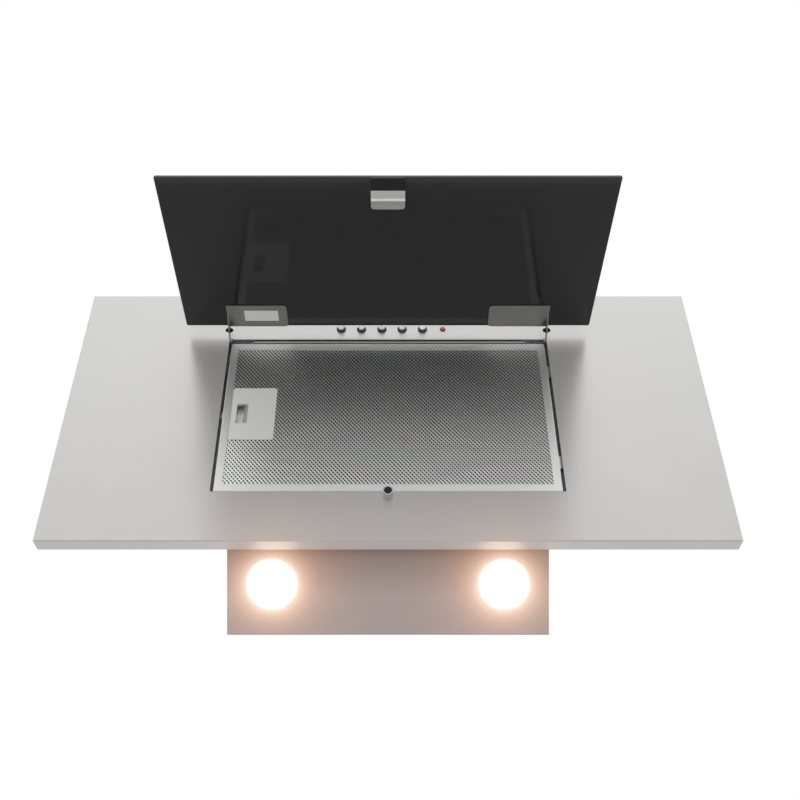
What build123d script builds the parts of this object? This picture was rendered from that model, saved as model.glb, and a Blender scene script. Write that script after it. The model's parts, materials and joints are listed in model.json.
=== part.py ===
from build123d import *
import math
import os

# Wall-hung inclined cooker hood. Millimetres, +Z up, the wall is the plane Y = 0 and the room
# lies towards -Y. The origin is on the wall, at the centre of the four wall holes.
# On the leaning face, v runs up the slope from the lower edge and s runs out of the face.

os.makedirs("parts", exist_ok=True)

# ---------------------------------------------------------------- driving dimensions

# Front panel: a tray of brushed sheet with folded edges
panel_width = 900.0
panel_length = 433.0
panel_lean = 38.65
panel_sheet = 1.0
panel_lip = 21.0
panel_fold_radius = 1.6
panel_wall_gap = 125.0
panel_drop = 200.0

# Filter opening in the panel
filter_width = 460.0
filter_length = 259.0
filter_thickness = 10.0
filter_recess = 1.2
filter_side_gap = 4.0
filter_top_gap = 8.0
filter_bottom_gap = 1.0
opening_low_v = 75.0
opening_corner = 1.5

# Filter frame and its meshes
frame_border = 11.0
frame_sheet = 0.8
mesh_sheet = 0.6
mesh_slip = 0.1
mesh_margin = 1.2
net_columns = 24
net_rows = 12
net_fill = 0.62
lug_count = 2
lug_spacing = 160.0
lug_width = 20.0
lug_reach = 7.0
lug_sheet = 1.0

# Latch in the filter
latch_plate_width = 61.7
latch_plate_length = 90.0
latch_plate_sheet = 1.1
latch_plate_gap = 0.3
latch_plate_corner = 3.0
recess_width = 15.8
recess_length = 34.0
recess_depth = 7.0
recess_inset = 7.3
recess_wall = 0.8
recess_corner = 1.5
latch_bolt_width = 10.0
latch_bolt_sheet = 1.5
latch_tab_rise = 2.5
latch_tab_sheet = 1.5
latch_finger_room = 8.4
latch_floor_gap = 0.4
latch_side_slip = 0.5
latch_nose_gap = 0.6

# Filter seat behind the opening
seat_ledge = 6.0
seat_end_ledge = 4.0
seat_sheet = 1.0
seat_back_gap = 0.6
seat_window_side = 36.0
seat_window_end = 19.0

# Body of sheet panels
body_width = 416.0
body_sheet = 1.0
lamp_plate_height = 28.0
body_top = 140.0
body_top_depth = 260.0
wall_hole_spacing_x = 300.0
wall_hole_spacing_z = 180.0
wall_hole_radius = 4.0

# Lamps
lamp_spacing = 300.0
lamp_wall_distance = 65.6
lamp_hole_radius = 31.0
lamp_ring_radius = 34.0
lamp_ring_lip = 2.0
lamp_window_radius = 27.5
lamp_sleeve_radius = 30.6
lamp_sleeve_wall = 1.6
lamp_sleeve_height = 12.0
lamp_lens_slip = 0.3
lamp_lens_thickness = 3.0
lamp_can_height = 35.0
lamp_can_wall = 1.2
lamp_block_radius = 9.0
lamp_block_height = 12.0
lamp_bulb_radius = 6.0
lamp_bulb_length = 22.0

# Door glass and its steel brackets
glass_width = 592.0
glass_length = 274.0
glass_thickness = 4.0
glass_corner = 2.0
glass_edge_break = 0.6
hinge_edge_distance = 3.5
hinge_height = 2.0
hinge_glass_offset = 16.0
hinge_glass_standoff = 14.6
hinge_pin_radius = 1.5
hinge_pin_slip = 0.05
hinge_eye_radius = 3.0
hinge_pin_head_radius = 2.6
hinge_pin_head = 0.9
hinge_plate_sheet = 1.5
hinge_plate_length = 26.0
hinge_plate_slip = 0.3
hinge_washer_gap = 0.5
bracket_sheet = 1.5
bracket_length = 87.0
bracket_height = 43.0
bracket_corner = 5.0
bracket_arm_top = 28.0
label_width = 49.0
label_height = 21.0
label_sheet = 0.2
label_inset = 25.0
label_lift = 12.0

# Magnetic catch
post_radius = 6.8
post_height = 15.2
post_v = 67.0
post_edge_break = 0.6
post_stud_radius = 2.0
post_stud_slip = 0.2
post_stud_length = 5.0
magnet_radius = 5.3
magnet_height = 3.0
magnet_recess = 0.2
strike_width = 44.0
strike_length = 20.0
strike_air_gap = 0.5
pull_length = 33.0
pull_bulge = 4.0
pull_corner = 7.0

# Controls
button_count = 5
button_pitch = 30.2
button_row_v = 363.0
button_row_shift = 6.0
button_radius = 5.0
button_proud = 5.5
button_tail = 12.0
button_edge_break = 0.9
button_slip = 0.3
button_travel = 3.0
bezel_radius = 7.0
bezel_height = 1.6
bezel_tube_wall = 0.7
bezel_tube_length = 3.0
bezel_hole_slip = 0.2
indicator_radius = 4.25
indicator_proud = 2.0
indicator_slip = 0.15
indicator_tail = 5.0
switch_block_height = 23.0
switch_block_depth = 24.0
switch_block_margin = 14.0
switch_block_corner = 2.0
switch_end_room = 1.0

# Outlet and dampers
outlet_wall_distance = 115.0
outlet_radius = 75.0
outlet_sheet = 1.0
outlet_height = 80.0
outlet_flange = 176.0
outlet_flange_corner = 10.0
outlet_ledge = 5.0
outlet_ledge_height = 7.2
outlet_ledge_sheet = 1.0
flap_sheet = 1.0
flap_rest_gap = 0.3
flap_edge_gap = 1.5
flap_rod_radius = 1.5
flap_rod_slip = 0.05
flap_knuckle_slip = 0.08
flap_knuckle_wall = 1.1
flap_knuckle_gap = 0.6
flap_knuckle_end = 60.0
flap_knuckle_start = 5.0
screw_spacing = 160.0
screw_radius = 1.9
screw_slip = 0.2
screw_head_radius = 3.6
screw_head = 2.2
screw_length = 6.0

# Blower
fan_centre_y = -115.0
fan_centre_z = 0.0
scroll_start_radius = 80.0
scroll_growth = 9.0
scroll_half_width = 70.0
scroll_wall = 2.0
scroll_outlet_depth = 150.0
scroll_inlet_radius = 62.0
fan_radius = 72.0
fan_blade_depth = 12.0
fan_half_width = 60.0
fan_ring_width = 2.0
fan_blade_sheet = 1.0
fan_blade_inset = 0.5
fan_blade_count = 28
fan_blade_angle = 35.0
fan_disc_sheet = 2.0
fan_hub_radius = 12.0
fan_hub_half_length = 8.0
shaft_radius = 4.0
shaft_slip = 0.05
shaft_start = -10.0
motor_radius = 40.0
motor_start = 12.0
motor_length = 72.0
motor_edge_break = 4.0
shaft_in_motor = 50.0
mount_sheet = 2.0
mount_ring_bore = 20.0
mount_arm_width = 14.0
mount_arm_count = 3
mount_foot_radius = 4.0
mount_foot_circle = 70.0

# Electrical pieces
capacitor_radius = 15.0
capacitor_length = 60.0
capacitor_y = -200.0
capacitor_z = 20.0
capacitor_gap = 0.3
capacitor_edge_break = 2.0
transformer_length = 90.0
transformer_depth = 45.0
transformer_height = 30.0
transformer_corner = 4.0
terminal_box_width = 33.0
terminal_box_depth = 70.0
terminal_box_height = 32.0
terminal_box_wall = 2.0
terminal_box_gap = 4.0
terminal_box_corner = 3.0
terminal_cover_sheet = 2.0
gland_bore_radius = 3.6
gland_nut_radius = 8.5
gland_nut_length = 6.0
gland_neck_radius = 6.0
gland_neck_length = 12.0
gland_inside = 3.0

# Duct cover in two telescoping halves
cover_width = 260.0
cover_depth = 230.0
cover_height = 400.0
cover_sheet = 1.0
cover_return = 12.0
cover_slip = 0.6
cover_overlap_start = 60.0
wall_bracket_height = 40.0
wall_bracket_sheet = 1.5
wall_bracket_tab = 30.0
wall_bracket_slip = 0.3
wall_bracket_hole_spacing = 160.0
wall_bracket_hole_radius = 3.0

# ---------------------------------------------------------------- planes and derived places

lean = math.radians(panel_lean)
face_origin = (0, -panel_wall_gap, -panel_drop)
out_of_face = Vector(0, -math.sin(lean), -math.cos(lean))
up_the_face = Vector(0, -math.cos(lean), math.sin(lean))
face = Plane(origin=face_origin, x_dir=(1, 0, 0), z_dir=out_of_face)
slope_side = Plane(origin=face_origin, x_dir=up_the_face, z_dir=(1, 0, 0))
out_axis = Axis(face_origin, out_of_face)
up_axis = Axis(face_origin, up_the_face)


def face_point(v, s):
    """Y and Z of a point v up the slope and s out of the face."""
    y = -panel_wall_gap - v * math.cos(lean) - s * math.sin(lean)
    z = -panel_drop + v * math.sin(lean) - s * math.cos(lean)
    return (y, z)


def slope_at_height(z, s):
    """How far up the slope the plane s out of the face reaches the height z."""
    return (z + panel_drop + s * math.cos(lean)) / math.sin(lean)


opening_width = filter_width + 2 * filter_side_gap
opening_length = filter_bottom_gap + filter_length + filter_top_gap
opening_high_v = opening_low_v + opening_length
opening_v = opening_low_v + opening_length / 2
filter_low_v = opening_low_v + filter_bottom_gap
filter_v = filter_low_v + filter_length / 2
filter_front = -filter_recess
filter_back = filter_front - filter_thickness

seat_width = opening_width + 2 * (seat_ledge + seat_sheet)
seat_low_v = opening_low_v - seat_end_ledge - seat_sheet
seat_high_v = opening_high_v + seat_end_ledge + seat_sheet
seat_length = seat_high_v - seat_low_v
seat_v = (seat_low_v + seat_high_v) / 2
seat_floor = filter_back - seat_back_gap
seat_back = seat_floor - seat_sheet

lamp_plate_bottom = lamp_plate_height - panel_drop
lamp_plate_top = lamp_plate_bottom + body_sheet
body_half = body_width / 2
body_inner_half = body_half - body_sheet
body_roof = body_top - body_sheet

hinge_v = opening_high_v - hinge_edge_distance
glass_inner_v = hinge_v + hinge_glass_offset
glass_low_s = hinge_height + hinge_glass_standoff
glass_free_s = glass_low_s + glass_length

button_places = [
    button_row_shift + button_pitch * (place - button_count / 2) for place in range(button_count)
]
indicator_place = button_row_shift + button_pitch * button_count / 2
bezel_bore = button_radius + button_slip
bezel_tube_radius = bezel_bore + bezel_tube_wall

outlet_y = -outlet_wall_distance
collar_base = body_top
collar_bore = outlet_radius - outlet_sheet
ledge_top = collar_base + outlet_ledge_height + outlet_ledge_sheet
flap_bottom = ledge_top + flap_rest_gap
flap_rod_z = flap_bottom + flap_sheet / 2

# ---------------------------------------------------------------- front panel

with BuildPart() as front_panel:
    with BuildSketch(face):
        with Locations((0, panel_length / 2)):
            Rectangle(panel_width, panel_length)
    extrude(amount=-panel_lip)
    folds = front_panel.faces().sort_by(out_axis)[-1].edges()
    corners = front_panel.edges().filter_by(out_axis)
    fillet(folds + corners, radius=panel_fold_radius)
    offset(amount=-panel_sheet, openings=front_panel.faces().sort_by(out_axis)[0])
    with BuildSketch(face):
        with Locations((0, opening_v)):
            RectangleRounded(opening_width, opening_length, opening_corner)
        with Locations([(x, button_row_v) for x in button_places]):
            Circle(bezel_tube_radius + bezel_hole_slip)
        with Locations((indicator_place, button_row_v)):
            Circle(indicator_radius + indicator_slip)
        with Locations((0, post_v)):
            Circle(post_stud_radius + post_stud_slip)
    extrude(amount=2 * panel_sheet, both=True, mode=Mode.SUBTRACT)
front_panel.part.label = "front_panel"
export_step(front_panel.part, "parts/front_panel.step")

# ---------------------------------------------------------------- filter seat

with BuildPart() as filter_seat:
    with BuildSketch(face.offset(seat_back)):
        with Locations((0, seat_v)):
            Rectangle(seat_width, seat_length)
    extrude(amount=-panel_sheet - seat_back)
    with BuildSketch(face.offset(seat_floor)):
        with Locations((0, seat_v)):
            Rectangle(seat_width - 2 * seat_sheet, seat_length - 2 * seat_sheet)
    extrude(amount=-panel_sheet - seat_floor, mode=Mode.SUBTRACT)
    with BuildSketch(face.offset(seat_back)):
        with Locations((0, seat_v)):
            Rectangle(seat_width - 2 * seat_window_side, seat_length - 2 * seat_window_end)
    extrude(amount=seat_sheet, mode=Mode.SUBTRACT)
filter_seat.part.label = "filter_seat"
export_step(filter_seat.part, "parts/filter_seat.step")

# ---------------------------------------------------------------- sheet body

lamp_front_low = face_point(slope_at_height(lamp_plate_bottom, -panel_sheet), -panel_sheet)
lamp_front_high = face_point(slope_at_height(lamp_plate_top, -panel_sheet), -panel_sheet)
seat_foot_front = face_point(seat_low_v, -panel_sheet)
seat_foot_back = face_point(seat_low_v, seat_back)
shoulder_foot = face_point(seat_high_v, seat_back)
shoulder_head = (-body_top_depth, body_roof)
shoulder_run = math.hypot(shoulder_head[0] - shoulder_foot[0], shoulder_head[1] - shoulder_foot[1])
shoulder_along = (
    (shoulder_head[0] - shoulder_foot[0]) / shoulder_run,
    (shoulder_head[1] - shoulder_foot[1]) / shoulder_run,
)
shoulder_inward = (shoulder_along[1], -shoulder_along[0])
foot_step = body_sheet / (
    math.cos(lean) * shoulder_inward[0] - math.sin(lean) * shoulder_inward[1]
)
shoulder_foot_inner = (
    shoulder_foot[0] + foot_step * math.cos(lean),
    shoulder_foot[1] - foot_step * math.sin(lean),
)
shoulder_head_inner = (shoulder_head[0] + body_sheet / shoulder_inward[0], body_roof)

with BuildPart() as back_plate:
    with BuildSketch(Plane.XZ):
        with Locations((0, (body_top + lamp_plate_bottom) / 2)):
            Rectangle(body_width, body_top - lamp_plate_bottom)
        with GridLocations(wall_hole_spacing_x, wall_hole_spacing_z, 2, 2):
            Circle(wall_hole_radius, mode=Mode.SUBTRACT)
    extrude(amount=body_sheet)
back_plate.part.label = "back_plate"
export_step(back_plate.part, "parts/back_plate.step")

for side_name, side_x in (("left", -body_half), ("right", body_inner_half)):
    with BuildPart() as side_panel:
        with BuildSketch(Plane.YZ.offset(side_x)):
            Polygon(
                (-body_sheet, lamp_plate_top),
                lamp_front_high,
                seat_foot_front,
                seat_foot_back,
                shoulder_foot_inner,
                shoulder_head_inner,
                (-body_sheet, body_roof),
                align=None,
            )
        extrude(amount=body_sheet)
    side_panel.part.label = "side_panel_" + side_name
    export_step(side_panel.part, "parts/side_panel_" + side_name + ".step")

with BuildPart() as shoulder_panel:
    with BuildSketch(Plane.YZ.offset(-body_half)):
        Polygon(
            shoulder_foot,
            shoulder_head,
            shoulder_head_inner,
            shoulder_foot_inner,
            align=None,
        )
    extrude(amount=body_width)
shoulder_panel.part.label = "shoulder_panel"
export_step(shoulder_panel.part, "parts/shoulder_panel.step")

with BuildPart() as lamp_plate:
    with BuildSketch(Plane.YZ.offset(-body_half)):
        Polygon(
            (-body_sheet, lamp_plate_bottom),
            lamp_front_low,
            lamp_front_high,
            (-body_sheet, lamp_plate_top),
            align=None,
        )
    extrude(amount=body_width)
    with BuildSketch(Plane.XY.offset(lamp_plate_bottom)):
        with Locations((0, -lamp_wall_distance)):
            with GridLocations(lamp_spacing, 1, 2, 1):
                Circle(lamp_hole_radius)
    extrude(amount=body_sheet, mode=Mode.SUBTRACT)
lamp_plate.part.label = "lamp_plate"
export_step(lamp_plate.part, "parts/lamp_plate.step")

with BuildPart() as top_plate:
    with BuildSketch(Plane.XY.offset(body_roof)):
        with Locations((0, -(body_sheet + body_top_depth) / 2)):
            Rectangle(body_width, body_top_depth - body_sheet)
        with Locations((0, outlet_y)):
            Circle(collar_bore, mode=Mode.SUBTRACT)
            with GridLocations(screw_spacing, screw_spacing, 2, 2):
                Circle(screw_radius + screw_slip, mode=Mode.SUBTRACT)
    extrude(amount=body_sheet)
top_plate.part.label = "top_plate"
export_step(top_plate.part, "parts/top_plate.step")

# ---------------------------------------------------------------- lamps

lamp_sides = (("left", -lamp_spacing / 2), ("right", lamp_spacing / 2))
lamp_sleeve_top = lamp_plate_bottom + lamp_sleeve_height
lamp_can_top = lamp_sleeve_top + lamp_can_height
lamp_block_bottom = lamp_can_top - lamp_can_wall - lamp_block_height
sleeve_bore = lamp_sleeve_radius - lamp_sleeve_wall


def lamp_place(x, z):
    """Upright plane through one lamp's centre line, with its Y axis up."""
    return Plane(origin=(x, -lamp_wall_distance, z), x_dir=(1, 0, 0), z_dir=(0, -1, 0))


for side_name, lamp_x in lamp_sides:
    lamp_axis = Axis((lamp_x, -lamp_wall_distance, 0), (0, 0, 1))

    with BuildPart() as lamp_ring:
        with BuildSketch(lamp_place(lamp_x, lamp_plate_bottom)):
            with BuildLine():
                Polyline(
                    (lamp_window_radius, 0),
                    (lamp_window_radius, -lamp_ring_lip),
                    (lamp_ring_radius - lamp_ring_lip, -lamp_ring_lip),
                )
                RadiusArc(
                    (lamp_ring_radius - lamp_ring_lip, -lamp_ring_lip),
                    (lamp_ring_radius, 0),
                    -lamp_ring_lip,
                )
                Polyline(
                    (lamp_ring_radius, 0),
                    (lamp_sleeve_radius, 0),
                    (lamp_sleeve_radius, lamp_sleeve_height),
                    (sleeve_bore, lamp_sleeve_height),
                    (sleeve_bore, 0),
                    (lamp_window_radius, 0),
                )
            make_face()
        revolve(axis=lamp_axis)
    lamp_ring.part.label = "lamp_ring_" + side_name
    export_step(lamp_ring.part, "parts/lamp_ring_" + side_name + ".step")

    with BuildPart() as lamp_lens:
        with BuildSketch(Plane.XY.offset(lamp_plate_bottom)):
            with Locations((lamp_x, -lamp_wall_distance)):
                Circle(sleeve_bore - lamp_lens_slip)
        extrude(amount=lamp_lens_thickness)
        chamfer(lamp_lens.edges().sort_by(Axis.Z)[-1], length=lamp_lens_thickness / 4)
    lamp_lens.part.label = "lamp_lens_" + side_name
    export_step(lamp_lens.part, "parts/lamp_lens_" + side_name + ".step")

    with BuildPart() as lamp_can:
        with BuildSketch(Plane.XY.offset(lamp_sleeve_top)):
            with Locations((lamp_x, -lamp_wall_distance)):
                Circle(lamp_sleeve_radius)
        extrude(amount=lamp_can_height)
        fillet(lamp_can.edges().sort_by(Axis.Z)[-1], radius=2 * lamp_can_wall)
        offset(amount=-lamp_can_wall, openings=lamp_can.faces().sort_by(Axis.Z)[0])
        with BuildSketch(Plane.XY.offset(lamp_block_bottom)):
            with Locations((lamp_x, -lamp_wall_distance)):
                Circle(lamp_block_radius)
        extrude(amount=lamp_block_height + lamp_can_wall / 2)
    lamp_can.part.label = "lamp_can_" + side_name
    export_step(lamp_can.part, "parts/lamp_can_" + side_name + ".step")

    with BuildPart() as lamp_bulb:
        with BuildSketch(Plane.XY.offset(lamp_block_bottom)):
            with Locations((lamp_x, -lamp_wall_distance)):
                Circle(lamp_bulb_radius)
        extrude(amount=-lamp_bulb_length)
        fillet(lamp_bulb.edges().sort_by(Axis.Z)[0], radius=0.8 * lamp_bulb_radius)
    lamp_bulb.part.label = "lamp_bulb_" + side_name
    export_step(lamp_bulb.part, "parts/lamp_bulb_" + side_name + ".step")

# ---------------------------------------------------------------- grease filter

net_width = filter_width - 2 * (frame_sheet + mesh_margin)
net_length = filter_length - 2 * (frame_sheet + mesh_margin)
net_pitch_x = (filter_width - 2 * frame_border) / net_columns
net_pitch_v = (filter_length - 2 * frame_border) / net_rows
front_net_top = filter_front - frame_sheet
rear_net_bottom = filter_back + frame_sheet
core_top = front_net_top - mesh_sheet - mesh_slip
core_bottom = rear_net_bottom + mesh_sheet + mesh_slip

latch_plate_left = -filter_width / 2 + frame_border + latch_plate_gap
latch_plate_x = latch_plate_left + latch_plate_width / 2
recess_left = latch_plate_left + recess_inset
recess_x = recess_left + recess_width / 2
latch_plate_top = front_net_top + latch_plate_sheet
recess_floor = latch_plate_top - recess_depth
recess_outer_width = recess_width + 2 * recess_wall
recess_outer_length = recess_length + 2 * recess_wall
tab_left = recess_left + latch_finger_room
tab_right = tab_left + latch_tab_sheet
shoe_left = recess_left + latch_side_slip
shoe_length = recess_length - 2 * latch_side_slip
bolt_bottom = recess_floor + latch_floor_gap
bolt_top = bolt_bottom + latch_bolt_sheet
bolt_nose = -(opening_width / 2) + latch_nose_gap
bolt_slot_width = latch_bolt_width + 2 * latch_side_slip
bolt_slot_height = latch_bolt_sheet + 2 * latch_side_slip
bolt_slot_s = (bolt_bottom + bolt_top) / 2
lug_middle = (filter_front + filter_back) / 2


def cut_bolt_slot(first_x, last_x):
    """Cuts the channel that the latch bolt slides in, from first_x to last_x."""
    with BuildSketch(slope_side.offset(first_x)) as slot:
        with Locations((filter_v, bolt_slot_s)):
            Rectangle(bolt_slot_width, bolt_slot_height)
    extrude(slot.sketch, amount=last_x - first_x, mode=Mode.SUBTRACT)


def cut_recess_room():
    """Cuts the room that the cup of the latch plate needs."""
    with BuildSketch(face) as room:
        with Locations((recess_x, filter_v)):
            Rectangle(
                recess_outer_width + 2 * latch_side_slip,
                recess_outer_length + 2 * latch_side_slip,
            )
    extrude(room.sketch, amount=rear_net_bottom + mesh_sheet, mode=Mode.SUBTRACT)


with BuildPart() as filter_frame:
    with BuildSketch(face.offset(filter_back)):
        with Locations((0, filter_v)):
            Rectangle(filter_width, filter_length)
            Rectangle(
                filter_width - 2 * frame_border,
                filter_length - 2 * frame_border,
                mode=Mode.SUBTRACT,
            )
    extrude(amount=filter_thickness)
    fillet(filter_frame.faces().sort_by(out_axis)[-1].outer_wire().edges(), radius=frame_sheet)
    with BuildSketch(face.offset(filter_back + frame_sheet)):
        with Locations((0, filter_v)):
            Rectangle(filter_width - 2 * frame_sheet, filter_length - 2 * frame_sheet)
    extrude(amount=filter_thickness - 2 * frame_sheet, mode=Mode.SUBTRACT)
    with BuildSketch(face.offset(lug_middle - lug_sheet / 2)):
        with Locations(((filter_width + lug_reach) / 2, filter_v)):
            with GridLocations(1, lug_spacing, 1, lug_count):
                Rectangle(lug_reach + frame_sheet, lug_width)
    extrude(amount=lug_sheet)
    cut_bolt_slot(-filter_width / 2 - frame_sheet, -filter_width / 2 + 2 * frame_sheet)
filter_frame.part.label = "filter_frame"
export_step(filter_frame.part, "parts/filter_frame.step")

for net_name, net_bottom in (
    ("filter_mesh_front", front_net_top - mesh_sheet),
    ("filter_mesh_rear", rear_net_bottom),
):
    with BuildPart() as net:
        with BuildSketch(face.offset(net_bottom)):
            with Locations((0, filter_v)):
                Rectangle(net_width, net_length)
                with GridLocations(net_pitch_x, net_pitch_v, net_columns, net_rows):
                    Polygon(
                        (-net_fill * net_pitch_x / 2, 0),
                        (0, -net_fill * net_pitch_v / 2),
                        (net_fill * net_pitch_x / 2, 0),
                        (0, net_fill * net_pitch_v / 2),
                        align=None,
                        mode=Mode.SUBTRACT,
                    )
        extrude(amount=mesh_sheet)
        if net_name == "filter_mesh_front":
            cut_recess_room()
    net.part.label = net_name
    export_step(net.part, "parts/" + net_name + ".step")

with BuildPart() as filter_core:
    with BuildSketch(face.offset(core_bottom)):
        with Locations((0, filter_v)):
            Rectangle(net_width, net_length)
    extrude(amount=core_top - core_bottom)
    cut_recess_room()
    cut_bolt_slot(-filter_width / 2, recess_x)
filter_core.part.label = "filter_core"
export_step(filter_core.part, "parts/filter_core.step")

with BuildPart() as latch_plate:
    with BuildSketch(face.offset(front_net_top)):
        with Locations((latch_plate_x, filter_v)):
            RectangleRounded(latch_plate_width, latch_plate_length, latch_plate_corner)
    extrude(amount=latch_plate_sheet)
    with BuildSketch(face.offset(recess_floor - recess_wall)):
        with Locations((recess_x, filter_v)):
            RectangleRounded(recess_outer_width, recess_outer_length, recess_corner)
    extrude(amount=front_net_top - recess_floor + recess_wall)
    with BuildSketch(face.offset(latch_plate_top)):
        with Locations((recess_x, filter_v)):
            Rectangle(recess_width, recess_length)
    extrude(amount=-recess_depth, mode=Mode.SUBTRACT)
    cut_bolt_slot(recess_left - 2 * recess_wall, recess_left + recess_wall)
latch_plate.part.label = "latch_plate"
export_step(latch_plate.part, "parts/latch_plate.step")

with BuildPart() as latch_slider:
    with BuildSketch(face.offset(bolt_bottom)):
        with Locations(((bolt_nose + tab_right) / 2, filter_v)):
            Rectangle(tab_right - bolt_nose, latch_bolt_width)
        with Locations(((shoe_left + tab_right) / 2, filter_v)):
            Rectangle(tab_right - shoe_left, shoe_length)
    extrude(amount=latch_bolt_sheet)
    with BuildSketch(face.offset(bolt_top)):
        with Locations(((tab_left + tab_right) / 2, filter_v)):
            Rectangle(latch_tab_sheet, shoe_length)
    extrude(amount=latch_tab_rise)
latch_slider.part.label = "latch_slider"
export_step(latch_slider.part, "parts/latch_slider.step")

# ---------------------------------------------------------------- hinges and door

ear_outer_x = opening_width / 2 - hinge_plate_slip * 2 - bracket_sheet - hinge_washer_gap
ear_inner_x = ear_outer_x - hinge_plate_sheet
arm_inner_x = ear_outer_x + hinge_washer_gap
arm_outer_x = arm_inner_x + bracket_sheet
hinge_top_v = seat_high_v - seat_sheet - hinge_plate_slip
hinge_low_s = seat_floor + hinge_plate_slip
hinge_high_s = -panel_sheet - hinge_plate_slip
ear_low_v = hinge_v - hinge_eye_radius
pin_start_x = ear_inner_x - hinge_pin_head
pin_end_x = arm_outer_x + hinge_pin_slip


def mirror_to_left(right_hand_part):
    """The same piece on the other side of the hood."""
    return mirror(right_hand_part, about=Plane.YZ, mode=Mode.PRIVATE)


with BuildPart() as hinge_plate:
    with BuildSketch(slope_side.offset(ear_inner_x)):
        with Locations(((ear_low_v + hinge_top_v) / 2, (hinge_low_s + hinge_high_s) / 2)):
            Rectangle(hinge_top_v - ear_low_v, hinge_high_s - hinge_low_s)
        with Locations((hinge_v, (hinge_high_s + hinge_height) / 2)):
            Rectangle(2 * hinge_eye_radius, hinge_height - hinge_high_s)
        with Locations((hinge_v, hinge_height)):
            Circle(hinge_eye_radius)
            Circle(hinge_pin_radius, mode=Mode.SUBTRACT)
    extrude(amount=hinge_plate_sheet)
    with BuildSketch(face.offset(hinge_low_s)):
        with Locations((ear_outer_x - hinge_plate_length / 2, hinge_top_v - hinge_plate_sheet / 2)):
            Rectangle(hinge_plate_length, hinge_plate_sheet)
    extrude(amount=hinge_high_s - hinge_low_s)
hinge_plate_left = mirror_to_left(hinge_plate.part)
hinge_plate_left.label = "hinge_plate_left"
export_step(hinge_plate_left, "parts/hinge_plate_left.step")
hinge_plate.part.label = "hinge_plate_right"
export_step(hinge_plate.part, "parts/hinge_plate_right.step")

with BuildPart() as hinge_pins:
    for side in (-1, 1):
        with BuildSketch(slope_side.offset(side * pin_start_x)):
            with Locations((hinge_v, hinge_height)):
                Circle(hinge_pin_head_radius)
        extrude(amount=side * hinge_pin_head)
        with BuildSketch(slope_side.offset(side * ear_inner_x)):
            with Locations((hinge_v, hinge_height)):
                Circle(hinge_pin_radius)
        extrude(amount=side * (pin_end_x - ear_inner_x))
hinge_pins.part.label = "hinge_pins"
export_step(hinge_pins.part, "parts/hinge_pins.step")

flange_face_v = glass_inner_v - bracket_sheet

with BuildPart() as door_bracket:
    with BuildSketch(slope_side.offset(arm_inner_x)):
        with BuildSketch(mode=Mode.PRIVATE) as arm_points:
            with Locations((hinge_v, hinge_height)):
                Circle(hinge_eye_radius)
            with Locations(((flange_face_v + glass_inner_v) / 2, glass_low_s + bracket_arm_top / 2)):
                Rectangle(bracket_sheet, bracket_arm_top)
        make_hull(arm_points.sketch.edges())
        with Locations((hinge_v, hinge_height)):
            Circle(hinge_pin_radius + hinge_pin_slip, mode=Mode.SUBTRACT)
    extrude(amount=bracket_sheet)
    flange_plane = Plane(
        origin=face.from_local_coords((arm_outer_x, flange_face_v, glass_low_s)),
        x_dir=(-1, 0, 0),
        z_dir=up_the_face,
    )
    with BuildSketch(flange_plane):
        with Locations((bracket_length / 2, bracket_height / 2)):
            Rectangle(bracket_length, bracket_height)
    extrude(amount=bracket_sheet)
    far_corners = door_bracket.edges().filter_by(up_axis).sort_by(Axis.X)[:2]
    fillet(far_corners, radius=bracket_corner)
door_bracket_left = mirror_to_left(door_bracket.part)
door_bracket_left.label = "door_bracket_left"
export_step(door_bracket_left, "parts/door_bracket_left.step")
door_bracket.part.label = "door_bracket_right"
export_step(door_bracket.part, "parts/door_bracket_right.step")

# The open glass stands square to the face; glass_plane lies on its inner side, X across the
# hood and Y out of the face, so that an extrude runs from the inner side up the slope.
glass_plane = Plane(
    origin=face.from_local_coords((0, glass_inner_v, 0)),
    x_dir=(-1, 0, 0),
    z_dir=up_the_face,
)

with BuildPart() as door_glass:
    with BuildSketch(glass_plane):
        with Locations((0, glass_low_s + glass_length / 2)):
            RectangleRounded(glass_width, glass_length, glass_corner)
    extrude(amount=glass_thickness)
    glass_sides = door_glass.faces().sort_by(up_axis)
    chamfer(glass_sides[0].edges() + glass_sides[-1].edges(), length=glass_edge_break)
door_glass.part.label = "door_glass"
export_step(door_glass.part, "parts/door_glass.step")

label_x = arm_outer_x - label_inset - label_width / 2
label_s = glass_low_s + label_lift + label_height / 2

with BuildPart() as blank_label:
    with BuildSketch(glass_plane.offset(-bracket_sheet)):
        with Locations((label_x, label_s)):
            Rectangle(label_width, label_height)
    extrude(amount=-label_sheet)
blank_label.part.label = "blank_label"
export_step(blank_label.part, "parts/blank_label.step")

strike_thickness = hinge_height + hinge_glass_offset - post_height - strike_air_gap
pull_far_s = glass_free_s - strike_length

with BuildPart() as catch_strike:
    with BuildSketch(glass_plane):
        with Locations((0, glass_free_s - strike_length / 2)):
            Rectangle(strike_width, strike_length)
    extrude(amount=-strike_thickness)
catch_strike.part.label = "catch_strike"
export_step(catch_strike.part, "parts/catch_strike.step")

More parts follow.
